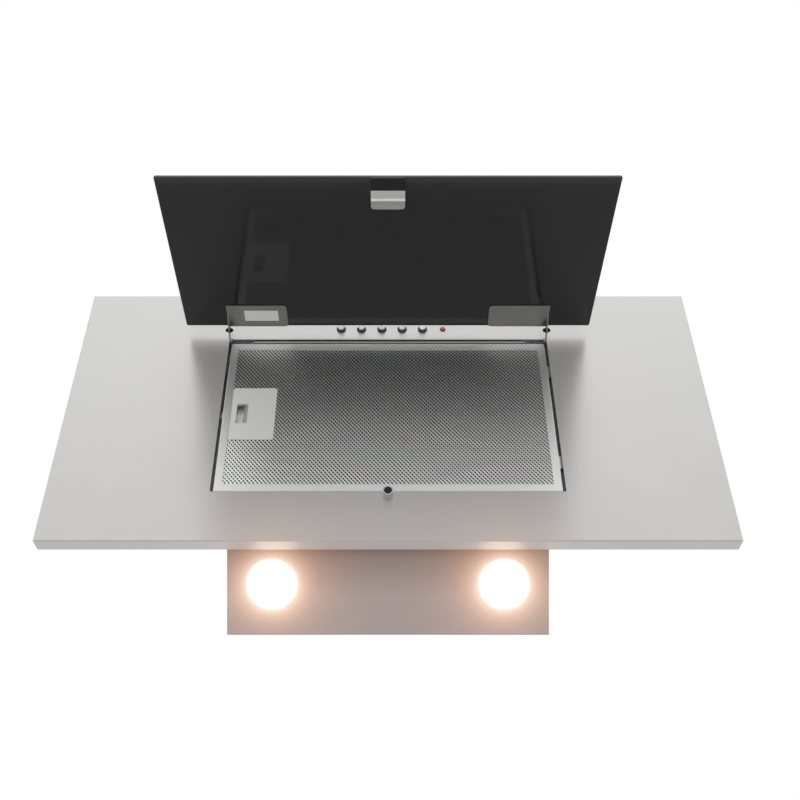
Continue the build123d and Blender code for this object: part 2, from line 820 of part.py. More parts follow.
with BuildPart() as catch_pull:
    with BuildSketch(slope_side.offset(-strike_width / 2)):
        with BuildLine():
            ThreePointArc(
                (glass_inner_v, pull_far_s - pull_length),
                (glass_inner_v - pull_bulge, pull_far_s - pull_length / 2),
                (glass_inner_v, pull_far_s),
            )
            Line((glass_inner_v, pull_far_s), (glass_inner_v, pull_far_s - pull_length))
        make_face()
    extrude(amount=strike_width)
    with BuildSketch(glass_plane):
        with Locations((0, pull_far_s - pull_length / 2)):
            RectangleRounded(strike_width, pull_length, pull_corner)
        with Locations((0, pull_far_s - pull_length / 4)):
            Rectangle(strike_width, pull_length / 2)
    extrude(amount=-pull_bulge, mode=Mode.INTERSECT)
catch_pull.part.label = "catch_pull"
export_step(catch_pull.part, "parts/catch_pull.step")

# ---------------------------------------------------------------- magnetic catch post

with BuildPart() as catch_post:
    with BuildSketch(face):
        with Locations((0, post_v)):
            Circle(post_radius)
    extrude(amount=post_height)
    chamfer(catch_post.faces().sort_by(out_axis)[-1].edges(), length=post_edge_break)
    with BuildSketch(face.offset(post_height)):
        with Locations((0, post_v)):
            Circle(magnet_radius)
    extrude(amount=-magnet_height - magnet_recess, mode=Mode.SUBTRACT)
    with BuildSketch(face):
        with Locations((0, post_v)):
            Circle(post_stud_radius)
    extrude(amount=-post_stud_length)
catch_post.part.label = "catch_post"
export_step(catch_post.part, "parts/catch_post.step")

with BuildPart() as catch_magnet:
    with BuildSketch(face.offset(post_height - magnet_recess)):
        with Locations((0, post_v)):
            Circle(magnet_radius)
    extrude(amount=-magnet_height)
catch_magnet.part.label = "catch_magnet"
export_step(catch_magnet.part, "parts/catch_magnet.step")

# ---------------------------------------------------------------- controls

with BuildPart() as button_bezels:
    with BuildSketch(face):
        with Locations([(x, button_row_v) for x in button_places]):
            Circle(bezel_radius)
    extrude(amount=bezel_height)
    chamfer(button_bezels.faces().group_by(out_axis)[-1].edges(), length=bezel_height / 3)
    with BuildSketch(face):
        with Locations([(x, button_row_v) for x in button_places]):
            Circle(bezel_tube_radius)
    extrude(amount=-bezel_tube_length)
    with BuildSketch(face.offset(-bezel_tube_length)):
        with Locations([(x, button_row_v) for x in button_places]):
            Circle(bezel_bore)
    extrude(amount=bezel_tube_length + bezel_height, mode=Mode.SUBTRACT)
button_bezels.part.label = "button_bezels"
export_step(button_bezels.part, "parts/button_bezels.step")

for number, button_x in enumerate(button_places, start=1):
    with BuildPart() as push_button:
        with BuildSketch(face.offset(-button_tail)):
            with Locations((button_x, button_row_v)):
                Circle(button_radius)
        extrude(amount=button_tail + button_proud)
        fillet(push_button.faces().sort_by(out_axis)[-1].edges(), radius=button_edge_break)
    push_button.part.label = "push_button_" + str(number)
    export_step(push_button.part, "parts/push_button_" + str(number) + ".step")

with BuildPart() as indicator_lens:
    with BuildSketch(face.offset(-indicator_tail)):
        with Locations((indicator_place, button_row_v)):
            Circle(indicator_radius)
    extrude(amount=indicator_tail + indicator_proud)
    fillet(indicator_lens.faces().sort_by(out_axis)[-1].edges(), radius=0.9 * indicator_proud)
indicator_lens.part.label = "indicator_lens"
export_step(indicator_lens.part, "parts/indicator_lens.step")

switch_first_x = button_places[0] - switch_block_margin
switch_last_x = indicator_place + switch_block_margin

with BuildPart() as switch_block:
    with BuildSketch(face.offset(-panel_sheet - switch_block_depth)):
        with Locations(((switch_first_x + switch_last_x) / 2, button_row_v)):
            RectangleRounded(
                switch_last_x - switch_first_x, switch_block_height, switch_block_corner
            )
    extrude(amount=switch_block_depth)
    with BuildSketch(face.offset(-panel_sheet)):
        with Locations([(x, button_row_v) for x in button_places]):
            Circle(bezel_tube_radius + bezel_hole_slip)
    extrude(amount=panel_sheet - bezel_tube_length - bezel_hole_slip, mode=Mode.SUBTRACT)
    with BuildSketch(face.offset(-panel_sheet)):
        with Locations([(x, button_row_v) for x in button_places]):
            Circle(bezel_bore)
    extrude(
        amount=panel_sheet - button_tail - button_travel - switch_end_room,
        mode=Mode.SUBTRACT,
    )
    with BuildSketch(face.offset(-panel_sheet)):
        with Locations((indicator_place, button_row_v)):
            Circle(indicator_radius + indicator_slip)
    extrude(amount=panel_sheet - indicator_tail, mode=Mode.SUBTRACT)
switch_block.part.label = "switch_block"
export_step(switch_block.part, "parts/switch_block.step")

# ---------------------------------------------------------------- outlet collar and dampers

with BuildPart() as outlet_collar:
    with BuildSketch(Plane.XY.offset(collar_base)):
        with Locations((0, outlet_y)):
            RectangleRounded(outlet_flange, outlet_flange, outlet_flange_corner)
    extrude(amount=outlet_sheet)
    with BuildSketch(Plane.XY.offset(collar_base)):
        with Locations((0, outlet_y)):
            Circle(outlet_radius)
    extrude(amount=outlet_height)
    with BuildSketch(Plane.XY.offset(collar_base)):
        with Locations((0, outlet_y)):
            Circle(collar_bore)
            with GridLocations(screw_spacing, screw_spacing, 2, 2):
                Circle(screw_radius + screw_slip)
    extrude(amount=outlet_height, mode=Mode.SUBTRACT)
    with BuildSketch(Plane.XY.offset(collar_base + outlet_ledge_height)):
        with Locations((0, outlet_y)):
            Circle(collar_bore + outlet_sheet / 2)
            Circle(collar_bore - outlet_ledge, mode=Mode.SUBTRACT)
    extrude(amount=outlet_ledge_sheet)
    with BuildSketch(Plane.YZ.offset(-outlet_radius)):
        with Locations((outlet_y, flap_rod_z)):
            Circle(flap_rod_radius + flap_rod_slip)
    extrude(amount=2 * outlet_radius, mode=Mode.SUBTRACT)
outlet_collar.part.label = "outlet_collar"
export_step(outlet_collar.part, "parts/outlet_collar.step")

with BuildPart() as collar_screws:
    with BuildSketch(Plane.XY.offset(collar_base + outlet_sheet)):
        with Locations((0, outlet_y)):
            with GridLocations(screw_spacing, screw_spacing, 2, 2):
                Circle(screw_head_radius)
    extrude(amount=screw_head)
    fillet(collar_screws.faces().group_by(Axis.Z)[-1].edges(), radius=screw_head / 2)
    with BuildSketch(Plane.XY.offset(collar_base + outlet_sheet)):
        with Locations((0, outlet_y)):
            with GridLocations(screw_spacing, screw_spacing, 2, 2):
                Circle(screw_radius)
    extrude(amount=-screw_length)
collar_screws.part.label = "collar_screws"
export_step(collar_screws.part, "parts/collar_screws.step")

with BuildPart() as flap_rod:
    with BuildSketch(Plane.YZ.offset(-outlet_radius)):
        with Locations((outlet_y, flap_rod_z)):
            Circle(flap_rod_radius)
    extrude(amount=2 * outlet_radius)
flap_rod.part.label = "flap_rod"
export_step(flap_rod.part, "parts/flap_rod.step")

knuckle_bore = flap_rod_radius + flap_knuckle_slip
knuckle_radius = knuckle_bore + flap_knuckle_wall
flap_start = knuckle_radius + flap_knuckle_gap
flap_radius = collar_bore - flap_edge_gap

# Each damper flap is half a disc with one knuckle on the rod: the front one's on the right.
knuckle_length = flap_knuckle_end - flap_knuckle_start
for flap_name, towards, knuckle_from in (
    ("front", -1, flap_knuckle_start),
    ("back", 1, -flap_knuckle_end),
):
    with BuildPart() as damper_flap:
        with BuildSketch(Plane.XY.offset(flap_bottom)):
            with Locations((0, outlet_y)):
                Circle(flap_radius)
            with Locations((0, outlet_y - towards * (flap_radius - flap_start) / 2)):
                Rectangle(2 * flap_radius, flap_radius + flap_start, mode=Mode.SUBTRACT)
            with Locations((knuckle_from + knuckle_length / 2, outlet_y + towards * flap_start / 2)):
                Rectangle(knuckle_length, flap_start)
        extrude(amount=flap_sheet)
        with BuildSketch(Plane.YZ.offset(knuckle_from)):
            with Locations((outlet_y, flap_rod_z)):
                Circle(knuckle_radius)
        extrude(amount=knuckle_length)
        with BuildSketch(Plane.YZ.offset(-flap_radius)):
            with Locations((outlet_y, flap_rod_z)):
                Circle(knuckle_bore)
        extrude(amount=2 * flap_radius, mode=Mode.SUBTRACT)
    damper_flap.part.label = "damper_flap_" + flap_name
    export_step(damper_flap.part, "parts/damper_flap_" + flap_name + ".step")

# ---------------------------------------------------------------- blower

scroll_back_y = outlet_y + scroll_outlet_depth / 2
scroll_front_y = outlet_y - scroll_outlet_depth / 2
right_radius = scroll_start_radius
low_radius = right_radius + scroll_growth
left_radius = low_radius + scroll_growth
low_centre_y = fan_centre_y - scroll_growth
left_centre_z = fan_centre_z + scroll_growth
diagonal = math.sqrt(0.5)


def draw_scroll():
    """The air path seen from the right: three growing quarter arcs and a flared outlet."""
    with BuildLine() as air_path:
        ThreePointArc(
            (fan_centre_y, fan_centre_z + right_radius),
            (fan_centre_y + diagonal * right_radius, fan_centre_z + diagonal * right_radius),
            (fan_centre_y + right_radius, fan_centre_z),
        )
        ThreePointArc(
            (fan_centre_y + right_radius, fan_centre_z),
            (low_centre_y + diagonal * low_radius, fan_centre_z - diagonal * low_radius),
            (low_centre_y, fan_centre_z - low_radius),
        )
        ThreePointArc(
            (low_centre_y, fan_centre_z - low_radius),
            (low_centre_y - diagonal * left_radius, left_centre_z - diagonal * left_radius),
            (low_centre_y - left_radius, left_centre_z),
        )
        Polyline(
            (low_centre_y - left_radius, left_centre_z),
            (scroll_front_y, body_roof),
            (scroll_back_y, body_roof),
            (fan_centre_y, fan_centre_z + right_radius),
        )
    make_face(air_path.edges())


for side_name, side in (("left", -1), ("right", 1)):
    with BuildPart() as scroll_half:
        with BuildSketch(Plane.YZ):
            draw_scroll()
            offset(amount=scroll_wall)
            with Locations((fan_centre_y, body_roof + scroll_start_radius / 2)):
                Rectangle(4 * scroll_start_radius, scroll_start_radius, mode=Mode.SUBTRACT)
        extrude(amount=side * (scroll_half_width + scroll_wall))
        with BuildSketch(Plane.YZ):
            draw_scroll()
        extrude(amount=side * scroll_half_width, mode=Mode.SUBTRACT)
        with BuildSketch(Plane.YZ):
            with Locations((fan_centre_y, fan_centre_z)):
                Circle(scroll_inlet_radius)
        extrude(amount=side * 2 * scroll_half_width, mode=Mode.SUBTRACT)
    scroll_half.part.label = "scroll_half_" + side_name
    export_step(scroll_half.part, "parts/scroll_half_" + side_name + ".step")


def fan_disc(x, outer_radius, inner_radius, width):
    """A ring or disc about the shaft, from x towards +X."""
    with BuildSketch(Plane.YZ.offset(x)) as disc:
        with Locations((fan_centre_y, fan_centre_z)):
            Circle(outer_radius)
            if inner_radius > 0:
                Circle(inner_radius, mode=Mode.SUBTRACT)
    extrude(disc.sketch, amount=width)


blade_chord = fan_blade_depth - 2 * fan_blade_inset

with BuildPart() as impeller:
    fan_disc(-fan_disc_sheet / 2, fan_radius, 0, fan_disc_sheet)
    for ring_x in (-fan_half_width, fan_half_width - fan_ring_width):
        fan_disc(ring_x, fan_radius, fan_radius - fan_blade_depth, fan_ring_width)
    fan_disc(-fan_hub_half_length, fan_hub_radius, 0, 2 * fan_hub_half_length)
    with BuildSketch(Plane.YZ.offset(-fan_half_width)):
        with Locations((fan_centre_y, fan_centre_z)):
            with PolarLocations(fan_radius - fan_blade_depth / 2, fan_blade_count):
                Rectangle(blade_chord, fan_blade_sheet, rotation=fan_blade_angle)
    extrude(amount=2 * fan_half_width)
    with BuildSketch(Plane.YZ.offset(-fan_hub_half_length)):
        with Locations((fan_centre_y, fan_centre_z)):
            Circle(shaft_radius)
    extrude(amount=2 * fan_hub_half_length, mode=Mode.SUBTRACT)
impeller.part.label = "impeller"
export_step(impeller.part, "parts/impeller.step")

with BuildPart() as motor_shaft:
    fan_disc(shaft_start, shaft_radius, 0, motor_start + shaft_in_motor - shaft_start)
    chamfer(motor_shaft.edges().filter_by(GeomType.CIRCLE), length=shaft_radius / 8)
motor_shaft.part.label = "motor_shaft"
export_step(motor_shaft.part, "parts/motor_shaft.step")

with BuildPart() as motor:
    fan_disc(motor_start, motor_radius, 0, motor_length)
    chamfer(motor.edges().filter_by(GeomType.CIRCLE), length=motor_edge_break)
    with BuildSketch(Plane.YZ.offset(motor_start)):
        with Locations((fan_centre_y, fan_centre_z)):
            Circle(shaft_radius + shaft_slip)
    extrude(amount=shaft_in_motor + 2 * motor_edge_break, mode=Mode.SUBTRACT)
motor.part.label = "motor"
export_step(motor.part, "parts/motor.step")

mount_x = motor_start + motor_length
scroll_side_x = scroll_half_width + scroll_wall
mount_reach = mount_foot_circle + mount_foot_radius
mount_ring_radius = motor_radius - motor_edge_break
arm_start = (mount_ring_radius + mount_ring_bore) / 2

with BuildPart() as motor_mount:
    fan_disc(mount_x, mount_ring_radius, mount_ring_bore, mount_sheet)
    with BuildSketch(Plane.YZ.offset(mount_x)):
        with Locations((fan_centre_y, fan_centre_z)):
            with PolarLocations((mount_reach + arm_start) / 2, mount_arm_count):
                Rectangle(mount_reach - arm_start, mount_arm_width)
    extrude(amount=mount_sheet)
    with BuildSketch(Plane.YZ.offset(scroll_side_x)):
        with Locations((fan_centre_y, fan_centre_z)):
            with PolarLocations(mount_foot_circle, mount_arm_count):
                Circle(mount_foot_radius)
    extrude(amount=mount_x - scroll_side_x)
motor_mount.part.label = "motor_mount"
export_step(motor_mount.part, "parts/motor_mount.step")

# ---------------------------------------------------------------- electrical pieces

with BuildPart() as capacitor:
    with BuildSketch(Plane.XY.offset(capacitor_z)):
        with Locations((-body_inner_half + capacitor_gap + capacitor_radius, capacitor_y)):
            Circle(capacitor_radius)
    extrude(amount=capacitor_length)
    fillet(capacitor.edges().filter_by(GeomType.CIRCLE), radius=capacitor_edge_break)
capacitor.part.label = "capacitor"
export_step(capacitor.part, "parts/capacitor.step")

with BuildPart() as lamp_transformer:
    with BuildSketch(Plane.XY.offset(lamp_plate_top)):
        with Locations((0, -lamp_wall_distance)):
            RectangleRounded(transformer_length, transformer_depth, transformer_corner)
    extrude(amount=transformer_height)
    fillet(lamp_transformer.faces().sort_by(Axis.Z)[-1].edges(), radius=transformer_corner / 2)
lamp_transformer.part.label = "lamp_transformer"
export_step(lamp_transformer.part, "parts/lamp_transformer.step")

terminal_x = outlet_flange / 2 + terminal_box_gap + terminal_box_width / 2
terminal_back_y = outlet_y + terminal_box_depth / 2
terminal_z = body_top + terminal_box_height / 2

with BuildPart() as terminal_box:
    with BuildSketch(Plane.XY.offset(body_top)):
        with Locations((terminal_x, outlet_y)):
            RectangleRounded(terminal_box_width, terminal_box_depth, terminal_box_corner)
    extrude(amount=terminal_box_height)
    offset(amount=-terminal_box_wall, openings=terminal_box.faces().sort_by(Axis.Z)[-1])
    with BuildSketch(Plane.XZ.offset(-terminal_back_y)):
        with Locations((terminal_x, terminal_z)):
            Circle(gland_neck_radius)
    extrude(amount=2 * terminal_box_wall, mode=Mode.SUBTRACT)
terminal_box.part.label = "terminal_box"
export_step(terminal_box.part, "parts/terminal_box.step")

with BuildPart() as terminal_cover:
    with BuildSketch(Plane.XY.offset(body_top + terminal_box_height)):
        with Locations((terminal_x, outlet_y)):
            RectangleRounded(terminal_box_width, terminal_box_depth, terminal_box_corner)
    extrude(amount=terminal_cover_sheet)
    fillet(terminal_cover.faces().sort_by(Axis.Z)[-1].edges(), radius=terminal_cover_sheet / 2)
terminal_cover.part.label = "terminal_cover"
export_step(terminal_cover.part, "parts/terminal_cover.step")

with BuildPart() as cable_gland:
    with BuildSketch(Plane.XZ.offset(-terminal_back_y + gland_inside)):
        with Locations((terminal_x, terminal_z)):
            Circle(gland_neck_radius)
    extrude(amount=-gland_inside - gland_nut_length - gland_neck_length)
    with BuildSketch(Plane.XZ.offset(-terminal_back_y)):
        with Locations((terminal_x, terminal_z)):
            RegularPolygon(gland_nut_radius, 6)
    extrude(amount=-gland_nut_length)
    with BuildSketch(Plane.XZ.offset(-terminal_back_y + gland_inside)):
        with Locations((terminal_x, terminal_z)):
            Circle(gland_bore_radius)
    extrude(amount=-gland_inside - gland_nut_length - gland_neck_length, mode=Mode.SUBTRACT)
cable_gland.part.label = "cable_gland"
export_step(cable_gland.part, "parts/cable_gland.step")

# ---------------------------------------------------------------- duct cover

cover_inner_half = cover_width / 2 - cover_sheet

with BuildPart() as duct_cover_lower:
    with BuildSketch(Plane.XY.offset(body_top)):
        with Locations((0, -cover_depth / 2)):
            Rectangle(cover_width, cover_depth)
            Rectangle(
                cover_width - 2 * cover_sheet, cover_depth - 2 * cover_sheet, mode=Mode.SUBTRACT
            )
        with Locations((0, -cover_sheet / 2)):
            Rectangle(cover_width - 2 * cover_return, cover_sheet, mode=Mode.SUBTRACT)
    extrude(amount=cover_height)
duct_cover_lower.part.label = "duct_cover_lower"
export_step(duct_cover_lower.part, "parts/duct_cover_lower.step")

upper_half = cover_inner_half - cover_slip
upper_front_y = -cover_depth + cover_sheet + cover_slip
upper_back_y = -cover_sheet - cover_slip
upper_bottom = body_top + cover_overlap_start
upper_top = upper_bottom + cover_height

with BuildPart() as duct_cover_upper:
    with BuildSketch(Plane.XY.offset(upper_bottom)):
        with Locations((0, (upper_front_y + upper_back_y) / 2)):
            Rectangle(2 * upper_half, upper_back_y - upper_front_y)
        with Locations((0, (upper_front_y + cover_sheet + upper_back_y) / 2)):
            Rectangle(
                2 * (upper_half - cover_sheet),
                upper_back_y - upper_front_y - cover_sheet,
                mode=Mode.SUBTRACT,
            )
    extrude(amount=cover_height)
duct_cover_upper.part.label = "duct_cover_upper"
export_step(duct_cover_upper.part, "parts/duct_cover_upper.step")

bracket_half = upper_half - cover_sheet - wall_bracket_slip
bracket_low = upper_top - wall_bracket_height

with BuildPart() as wall_bracket:
    with BuildSketch(Plane.XY.offset(bracket_low)):
        with Locations((0, -wall_bracket_tab / 2)):
            Rectangle(2 * bracket_half, wall_bracket_tab)
        with Locations((0, -(wall_bracket_tab + wall_bracket_sheet) / 2)):
            Rectangle(
                2 * (bracket_half - wall_bracket_sheet),
                wall_bracket_tab - wall_bracket_sheet,
                mode=Mode.SUBTRACT,
            )
    extrude(amount=wall_bracket_height)
    with BuildSketch(Plane.XZ):
        with Locations((0, bracket_low + wall_bracket_height / 2)):
            with GridLocations(wall_bracket_hole_spacing, 1, 2, 1):
                Circle(wall_bracket_hole_radius)
    extrude(amount=wall_bracket_sheet, mode=Mode.SUBTRACT)
wall_bracket.part.label = "wall_bracket"
export_step(wall_bracket.part, "parts/wall_bracket.step")
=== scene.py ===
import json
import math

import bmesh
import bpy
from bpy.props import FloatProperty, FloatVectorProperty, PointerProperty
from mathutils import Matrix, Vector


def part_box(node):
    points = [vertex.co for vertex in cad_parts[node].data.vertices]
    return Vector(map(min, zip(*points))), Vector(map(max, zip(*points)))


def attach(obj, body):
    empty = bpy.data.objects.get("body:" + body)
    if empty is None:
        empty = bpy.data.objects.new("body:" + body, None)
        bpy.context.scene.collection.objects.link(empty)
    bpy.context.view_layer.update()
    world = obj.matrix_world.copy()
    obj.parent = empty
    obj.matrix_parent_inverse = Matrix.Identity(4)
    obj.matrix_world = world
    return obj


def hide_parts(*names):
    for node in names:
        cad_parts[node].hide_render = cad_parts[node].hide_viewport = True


bl_info = {
    "name": "Inclined Wall Hood Finishes",
    "version": (1, 0, 0),
    "blender": (4, 5, 0),
    "location": "3D View > Sidebar > Hood",
    "description": "Dresses the packed wall hood with its nets, seams, screws, lamps and finishes",
    "category": "Object",
}

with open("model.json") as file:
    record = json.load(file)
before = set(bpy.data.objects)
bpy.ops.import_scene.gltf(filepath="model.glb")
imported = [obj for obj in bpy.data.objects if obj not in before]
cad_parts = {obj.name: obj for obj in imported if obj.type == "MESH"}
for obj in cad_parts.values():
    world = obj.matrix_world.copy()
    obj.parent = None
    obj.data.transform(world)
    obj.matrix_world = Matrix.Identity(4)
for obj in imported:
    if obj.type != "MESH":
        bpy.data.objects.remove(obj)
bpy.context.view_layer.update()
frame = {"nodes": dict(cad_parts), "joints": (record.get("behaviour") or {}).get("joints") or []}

# ---------------------------------------------------------------- directions and places

JOINTS = {joint["name"]: joint for joint in frame["joints"]}

# The leaning front's own directions. The filter's hinge line runs up it.
ACROSS = Vector((1, 0, 0))
UP_FACE = Vector(JOINTS["filter_tilt"]["axis"]).normalized()
OUT_OF_FACE = ACROSS.cross(UP_FACE)
FACE_TURN = Matrix((ACROSS, UP_FACE, OUT_OF_FACE)).transposed().to_4x4()

TO_WALL = Vector((0, 1, 0))
DOWN = Vector((0, 0, -1))

# Which way along ACROSS each side of the hood lies
SIDES = (("left", -1), ("right", 1))


def reach(node, direction):
    """The least and the greatest distance of a CAD node's points along a direction, in metres."""
    distances = [vertex.co.dot(direction) for vertex in frame["nodes"][node].data.vertices]
    return min(distances), max(distances)


def lamp_foot(node):
    """The point of the ground plane straight under the middle of a lamp's ring, in metres."""
    low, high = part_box(node)
    return ((low[0] + high[0]) / 2, (low[1] + high[1]) / 2, 0)


def face_place(x, up, out):
    """A matrix that stands a flat piece on the leaning face, at these distances from the origin."""
    return Matrix.Translation(ACROSS * x + UP_FACE * up + OUT_OF_FACE * out) @ FACE_TURN


def looking(direction, place):
    """A matrix that stands a piece modelled along Z on a place, along a direction."""
    turn = Vector(direction).to_track_quat("Z", "Y").to_matrix().to_4x4()
    return Matrix.Translation(place) @ turn


def steps(start, end, pitch):
    """Evenly spaced distances from start to end, about a pitch apart."""
    count = max(1, round((end - start) / pitch))
    return [start + (end - start) * index / count for index in range(count + 1)]


# ---------------------------------------------------------------- sizes and colours to set


class HoodNetSizes(bpy.types.PropertyGroup):
    pitch_across: FloatProperty(
        name="Pitch across", description="Width of one opening of the net", default=0.0054, unit="LENGTH",
    )
    pitch_up: FloatProperty(
        name="Pitch up", description="Height of one opening of the net", default=0.0066, unit="LENGTH",
    )
    strand: FloatProperty(
        name="Strand", description="Half the width of a strand as slit", default=0.00062, unit="LENGTH",
    )
    broad: FloatProperty(
        name="Broad strands", description="Share of each opening left by the strands that show",
        default=0.68, subtype="FACTOR", min=0, max=1,
    )
    narrow: FloatProperty(
        name="Narrow strands", description="Growth of each opening along the strands that show",
        default=1.14, subtype="FACTOR", min=1, max=1.5,
    )
    sheet: FloatProperty(
        name="Sheet", description="Thickness of the slit sheet", default=0.0003, unit="LENGTH",
    )
    tilt: FloatProperty(
        name="Tilt", description="How far each strand leans out of the sheet", default=0.00016, unit="LENGTH",
    )
    rear_share: FloatProperty(
        name="Rear net", description="How many times coarser the rear net is than the front one", default=1.6,
    )


class HoodFixings(bpy.types.PropertyGroup):
    rail_length: FloatProperty(
        name="Rail length", description="Length of the strip over the filter", default=0.398, unit="LENGTH",
    )
    rail_width: FloatProperty(
        name="Rail width", description="Width of the strip's front", default=0.0044, unit="LENGTH",
    )
    rail_sheet: FloatProperty(
        name="Rail sheet", description="Thickness of the strip's sheet", default=0.0007, unit="LENGTH",
    )
    rail_gap: FloatProperty(
        name="Rail gap", description="Gap between the filter and the strip", default=0.0025, unit="LENGTH",
    )
    rail_sunk: FloatProperty(
        name="Rail sunk", description="How far the strip lies behind the panel's face", default=0.0022,
        unit="LENGTH",
    )
    rail_offset: FloatProperty(
        name="Rail offset", description="How far the strip's middle lies right of the hood's", default=0.0015,
        unit="LENGTH",
    )
    screw_radius: FloatProperty(
        name="Screw radius", description="Radius of a pan head", default=0.0042, unit="LENGTH",
    )
    bolt_radius: FloatProperty(
        name="Bolt radius", description="Radius of a bracket bolt's hexagon", default=0.0032, unit="LENGTH",
    )
    arm_sheet: FloatProperty(
        name="Arm sheet", description="Thickness of a hinge arm", default=0.0015, unit="LENGTH",
    )
    weld_radius: FloatProperty(
        name="Weld radius", description="Radius of a spot weld's mark", default=0.0032, unit="LENGTH",
    )
    weld_pitch: FloatProperty(
        name="Weld pitch", description="Distance between two spot welds", default=0.046, unit="LENGTH",
    )
    weld_edge: FloatProperty(
        name="Weld edge", description="Distance of the welds from a side's edges", default=0.010,
        unit="LENGTH",
    )
    pad_height: FloatProperty(
        name="Pad height", description="How far the pad stands out of the latch plate", default=0.00035,
        unit="LENGTH",
    )
    pad_width: FloatProperty(
        name="Pad width", description="Width of the pad beside the recess", default=0.0084, unit="LENGTH",
    )


class HoodColours(bpy.types.PropertyGroup):
    panel_steel: FloatVectorProperty(
        name="Panel steel", description="Brushed steel of the front panel", subtype="COLOR",
        size=4, min=0, max=1, default=(0.70, 0.70, 0.695, 1),
    )
    body_steel: FloatVectorProperty(
        name="Body steel", description="Brushed steel of the body and the duct cover", subtype="COLOR",
        size=4, min=0, max=1, default=(0.52, 0.52, 0.515, 1),
    )
    # The same steel as the panel's, set darker as painted shade for the plate that lies behind the panel's
    # lip
    shaded_lamp_steel: FloatVectorProperty(
        name="Lamp plate steel", description="Brushed steel between the panel and the wall", subtype="COLOR",
        size=4, min=0, max=1, default=(0.61, 0.605, 0.595, 1),
    )
    glass: FloatVectorProperty(
        name="Black glass", description="Enamelled glass of the cover", subtype="COLOR",
        size=4, min=0, max=1, default=(0.012, 0.012, 0.013, 1),
    )
    lamp_light: FloatVectorProperty(
        name="Lamp light", description="Colour of the lit lamps", subtype="COLOR",
        size=4, min=0, max=1, default=(1.0, 0.80, 0.56, 1),
    )


class HoodStage(bpy.types.PropertyGroup):
    eye_height: FloatProperty(
        name="Eye height", description="Height of the camera, from the origin", default=-1.4707,
        unit="LENGTH",
    )
    eye_distance: FloatProperty(
        name="Eye distance", description="Distance of the camera from the wall", default=0.3034,
        unit="LENGTH",
    )
    focal_length: FloatProperty(
        name="Focal length", description="Lens of the camera, in millimetres", default=45.225, unit="CAMERA",
    )
    lens_shift: FloatProperty(
        name="Lens shift", description="Sideways shift of the picture, as a share of it", default=0.015,
    )
    floor_drop: FloatProperty(
        name="Floor drop", description="Height of the floor under the origin", default=1.8, unit="LENGTH",
    )
    floor_width: FloatProperty(
        name="Floor width", description="Side of the square floor", default=14.0, unit="LENGTH",
    )
    surround_light: FloatProperty(
        name="Surround light", description="Strength of the pale surroundings as a light", default=0.54,
    )
    bank_power: FloatProperty(
        name="Bank power", description="Power of the soft lamp in front", default=31.0, unit="POWER",
    )
    bank_width: FloatProperty(
        name="Bank width", description="Width of the soft lamp in front", default=4.5, unit="LENGTH",
    )
    bank_height: FloatProperty(
        name="Bank height", description="Height of the soft lamp in front", default=1.5, unit="LENGTH",
    )
    bank_place: FloatVectorProperty(
        name="Bank place", description="Middle of the soft lamp in front", default=(0.0, -3.0, 0.1),
        subtype="TRANSLATION",
    )
    bank_aim: FloatVectorProperty(
        name="Bank aim", description="Point that the soft lamp faces", default=(0.0, -0.25, 0.0),
        subtype="TRANSLATION",
    )


# ---------------------------------------------------------------- shading helpers


def feed(tree, socket, value):
    """Links a socket to another one, or sets it to a plain value."""
    if isinstance(value, bpy.types.NodeSocket):
        tree.links.new(value, socket)
    else:
        socket.default_value = value


def set_inputs(tree, node, values):
    """Feeds the named inputs of a node with sockets or plain values."""
    for label, value in values.items():
        feed(tree, node.inputs[label], value)


def maths(tree, operation, first, second):
    """A maths node on two sockets or numbers. Gives its output socket."""
    node = tree.nodes.new("ShaderNodeMath")
    node.operation = operation
    feed(tree, node.inputs[0], first)
    feed(tree, node.inputs[1], second)
    return node.outputs[0]


def vector_maths(tree, operation, first, second):
    """A vector maths node on two sockets or plain values. Gives the output socket that it fills."""
    node = tree.nodes.new("ShaderNodeVectorMath")
    node.operation = operation
    feed(tree, node.inputs[0], first)
    feed(tree, node.inputs["Scale" if operation == "SCALE" else 1], second)
    return node.outputs["Value" if operation in ("DISTANCE", "DOT_PRODUCT") else "Vector"]


def noise(tree, vector, scale, detail):
    """A noise texture, which lies about 0.5. Gives its value socket."""
    node = tree.nodes.new("ShaderNodeTexNoise")
    set_inputs(tree, node, {"Vector": vector, "Scale": scale, "Detail": detail})
    return node.outputs["Fac"]


def remap(tree, value, low, high, start=0.0, end=1.0):
    """A value that runs from low to high while another runs from start to end. Gives its socket."""
    node = tree.nodes.new("ShaderNodeMapRange")
    limits = {"From Min": start, "From Max": end, "To Min": low, "To Max": high}
    set_inputs(tree, node, {"Value": value, **limits})
    return node.outputs["Result"]


def uneven(tree, fine, broad, tone):
    """A grey about 1 that two noises make uneven, by a tone. Gives its socket."""
    centred = maths(tree, "SUBTRACT", maths(tree, "ADD", fine, broad), 1.0)
    return maths(tree, "ADD", maths(tree, "MULTIPLY", centred, tone), 1.0)


def relief(tree, height, strength, distance):
    """The normals of a surface with a relief. Gives their socket."""
    node = tree.nodes.new("ShaderNodeBump")
    set_inputs(tree, node, {"Height": height, "Strength": strength, "Distance": distance})
    return node.outputs["Normal"]


def lay_out(tree, end):
    """Sets a tree's nodes in columns to the left of its end node, so that it can be read."""
    column_width, row_height = 220, 260
    columns = {end: 0}
    waiting = [end]
    while waiting:
        node = waiting.pop()
        for link in tree.links:
            if link.to_node == node and columns.get(link.from_node, 0) <= columns[node]:
                columns[link.from_node] = columns[node] + 1
                waiting.append(link.from_node)
    filled = [0] * (len(columns) + 1)
    for node, column in columns.items():
        node.location = (-column * column_width, -filled[column] * row_height)
        filled[column] += 1


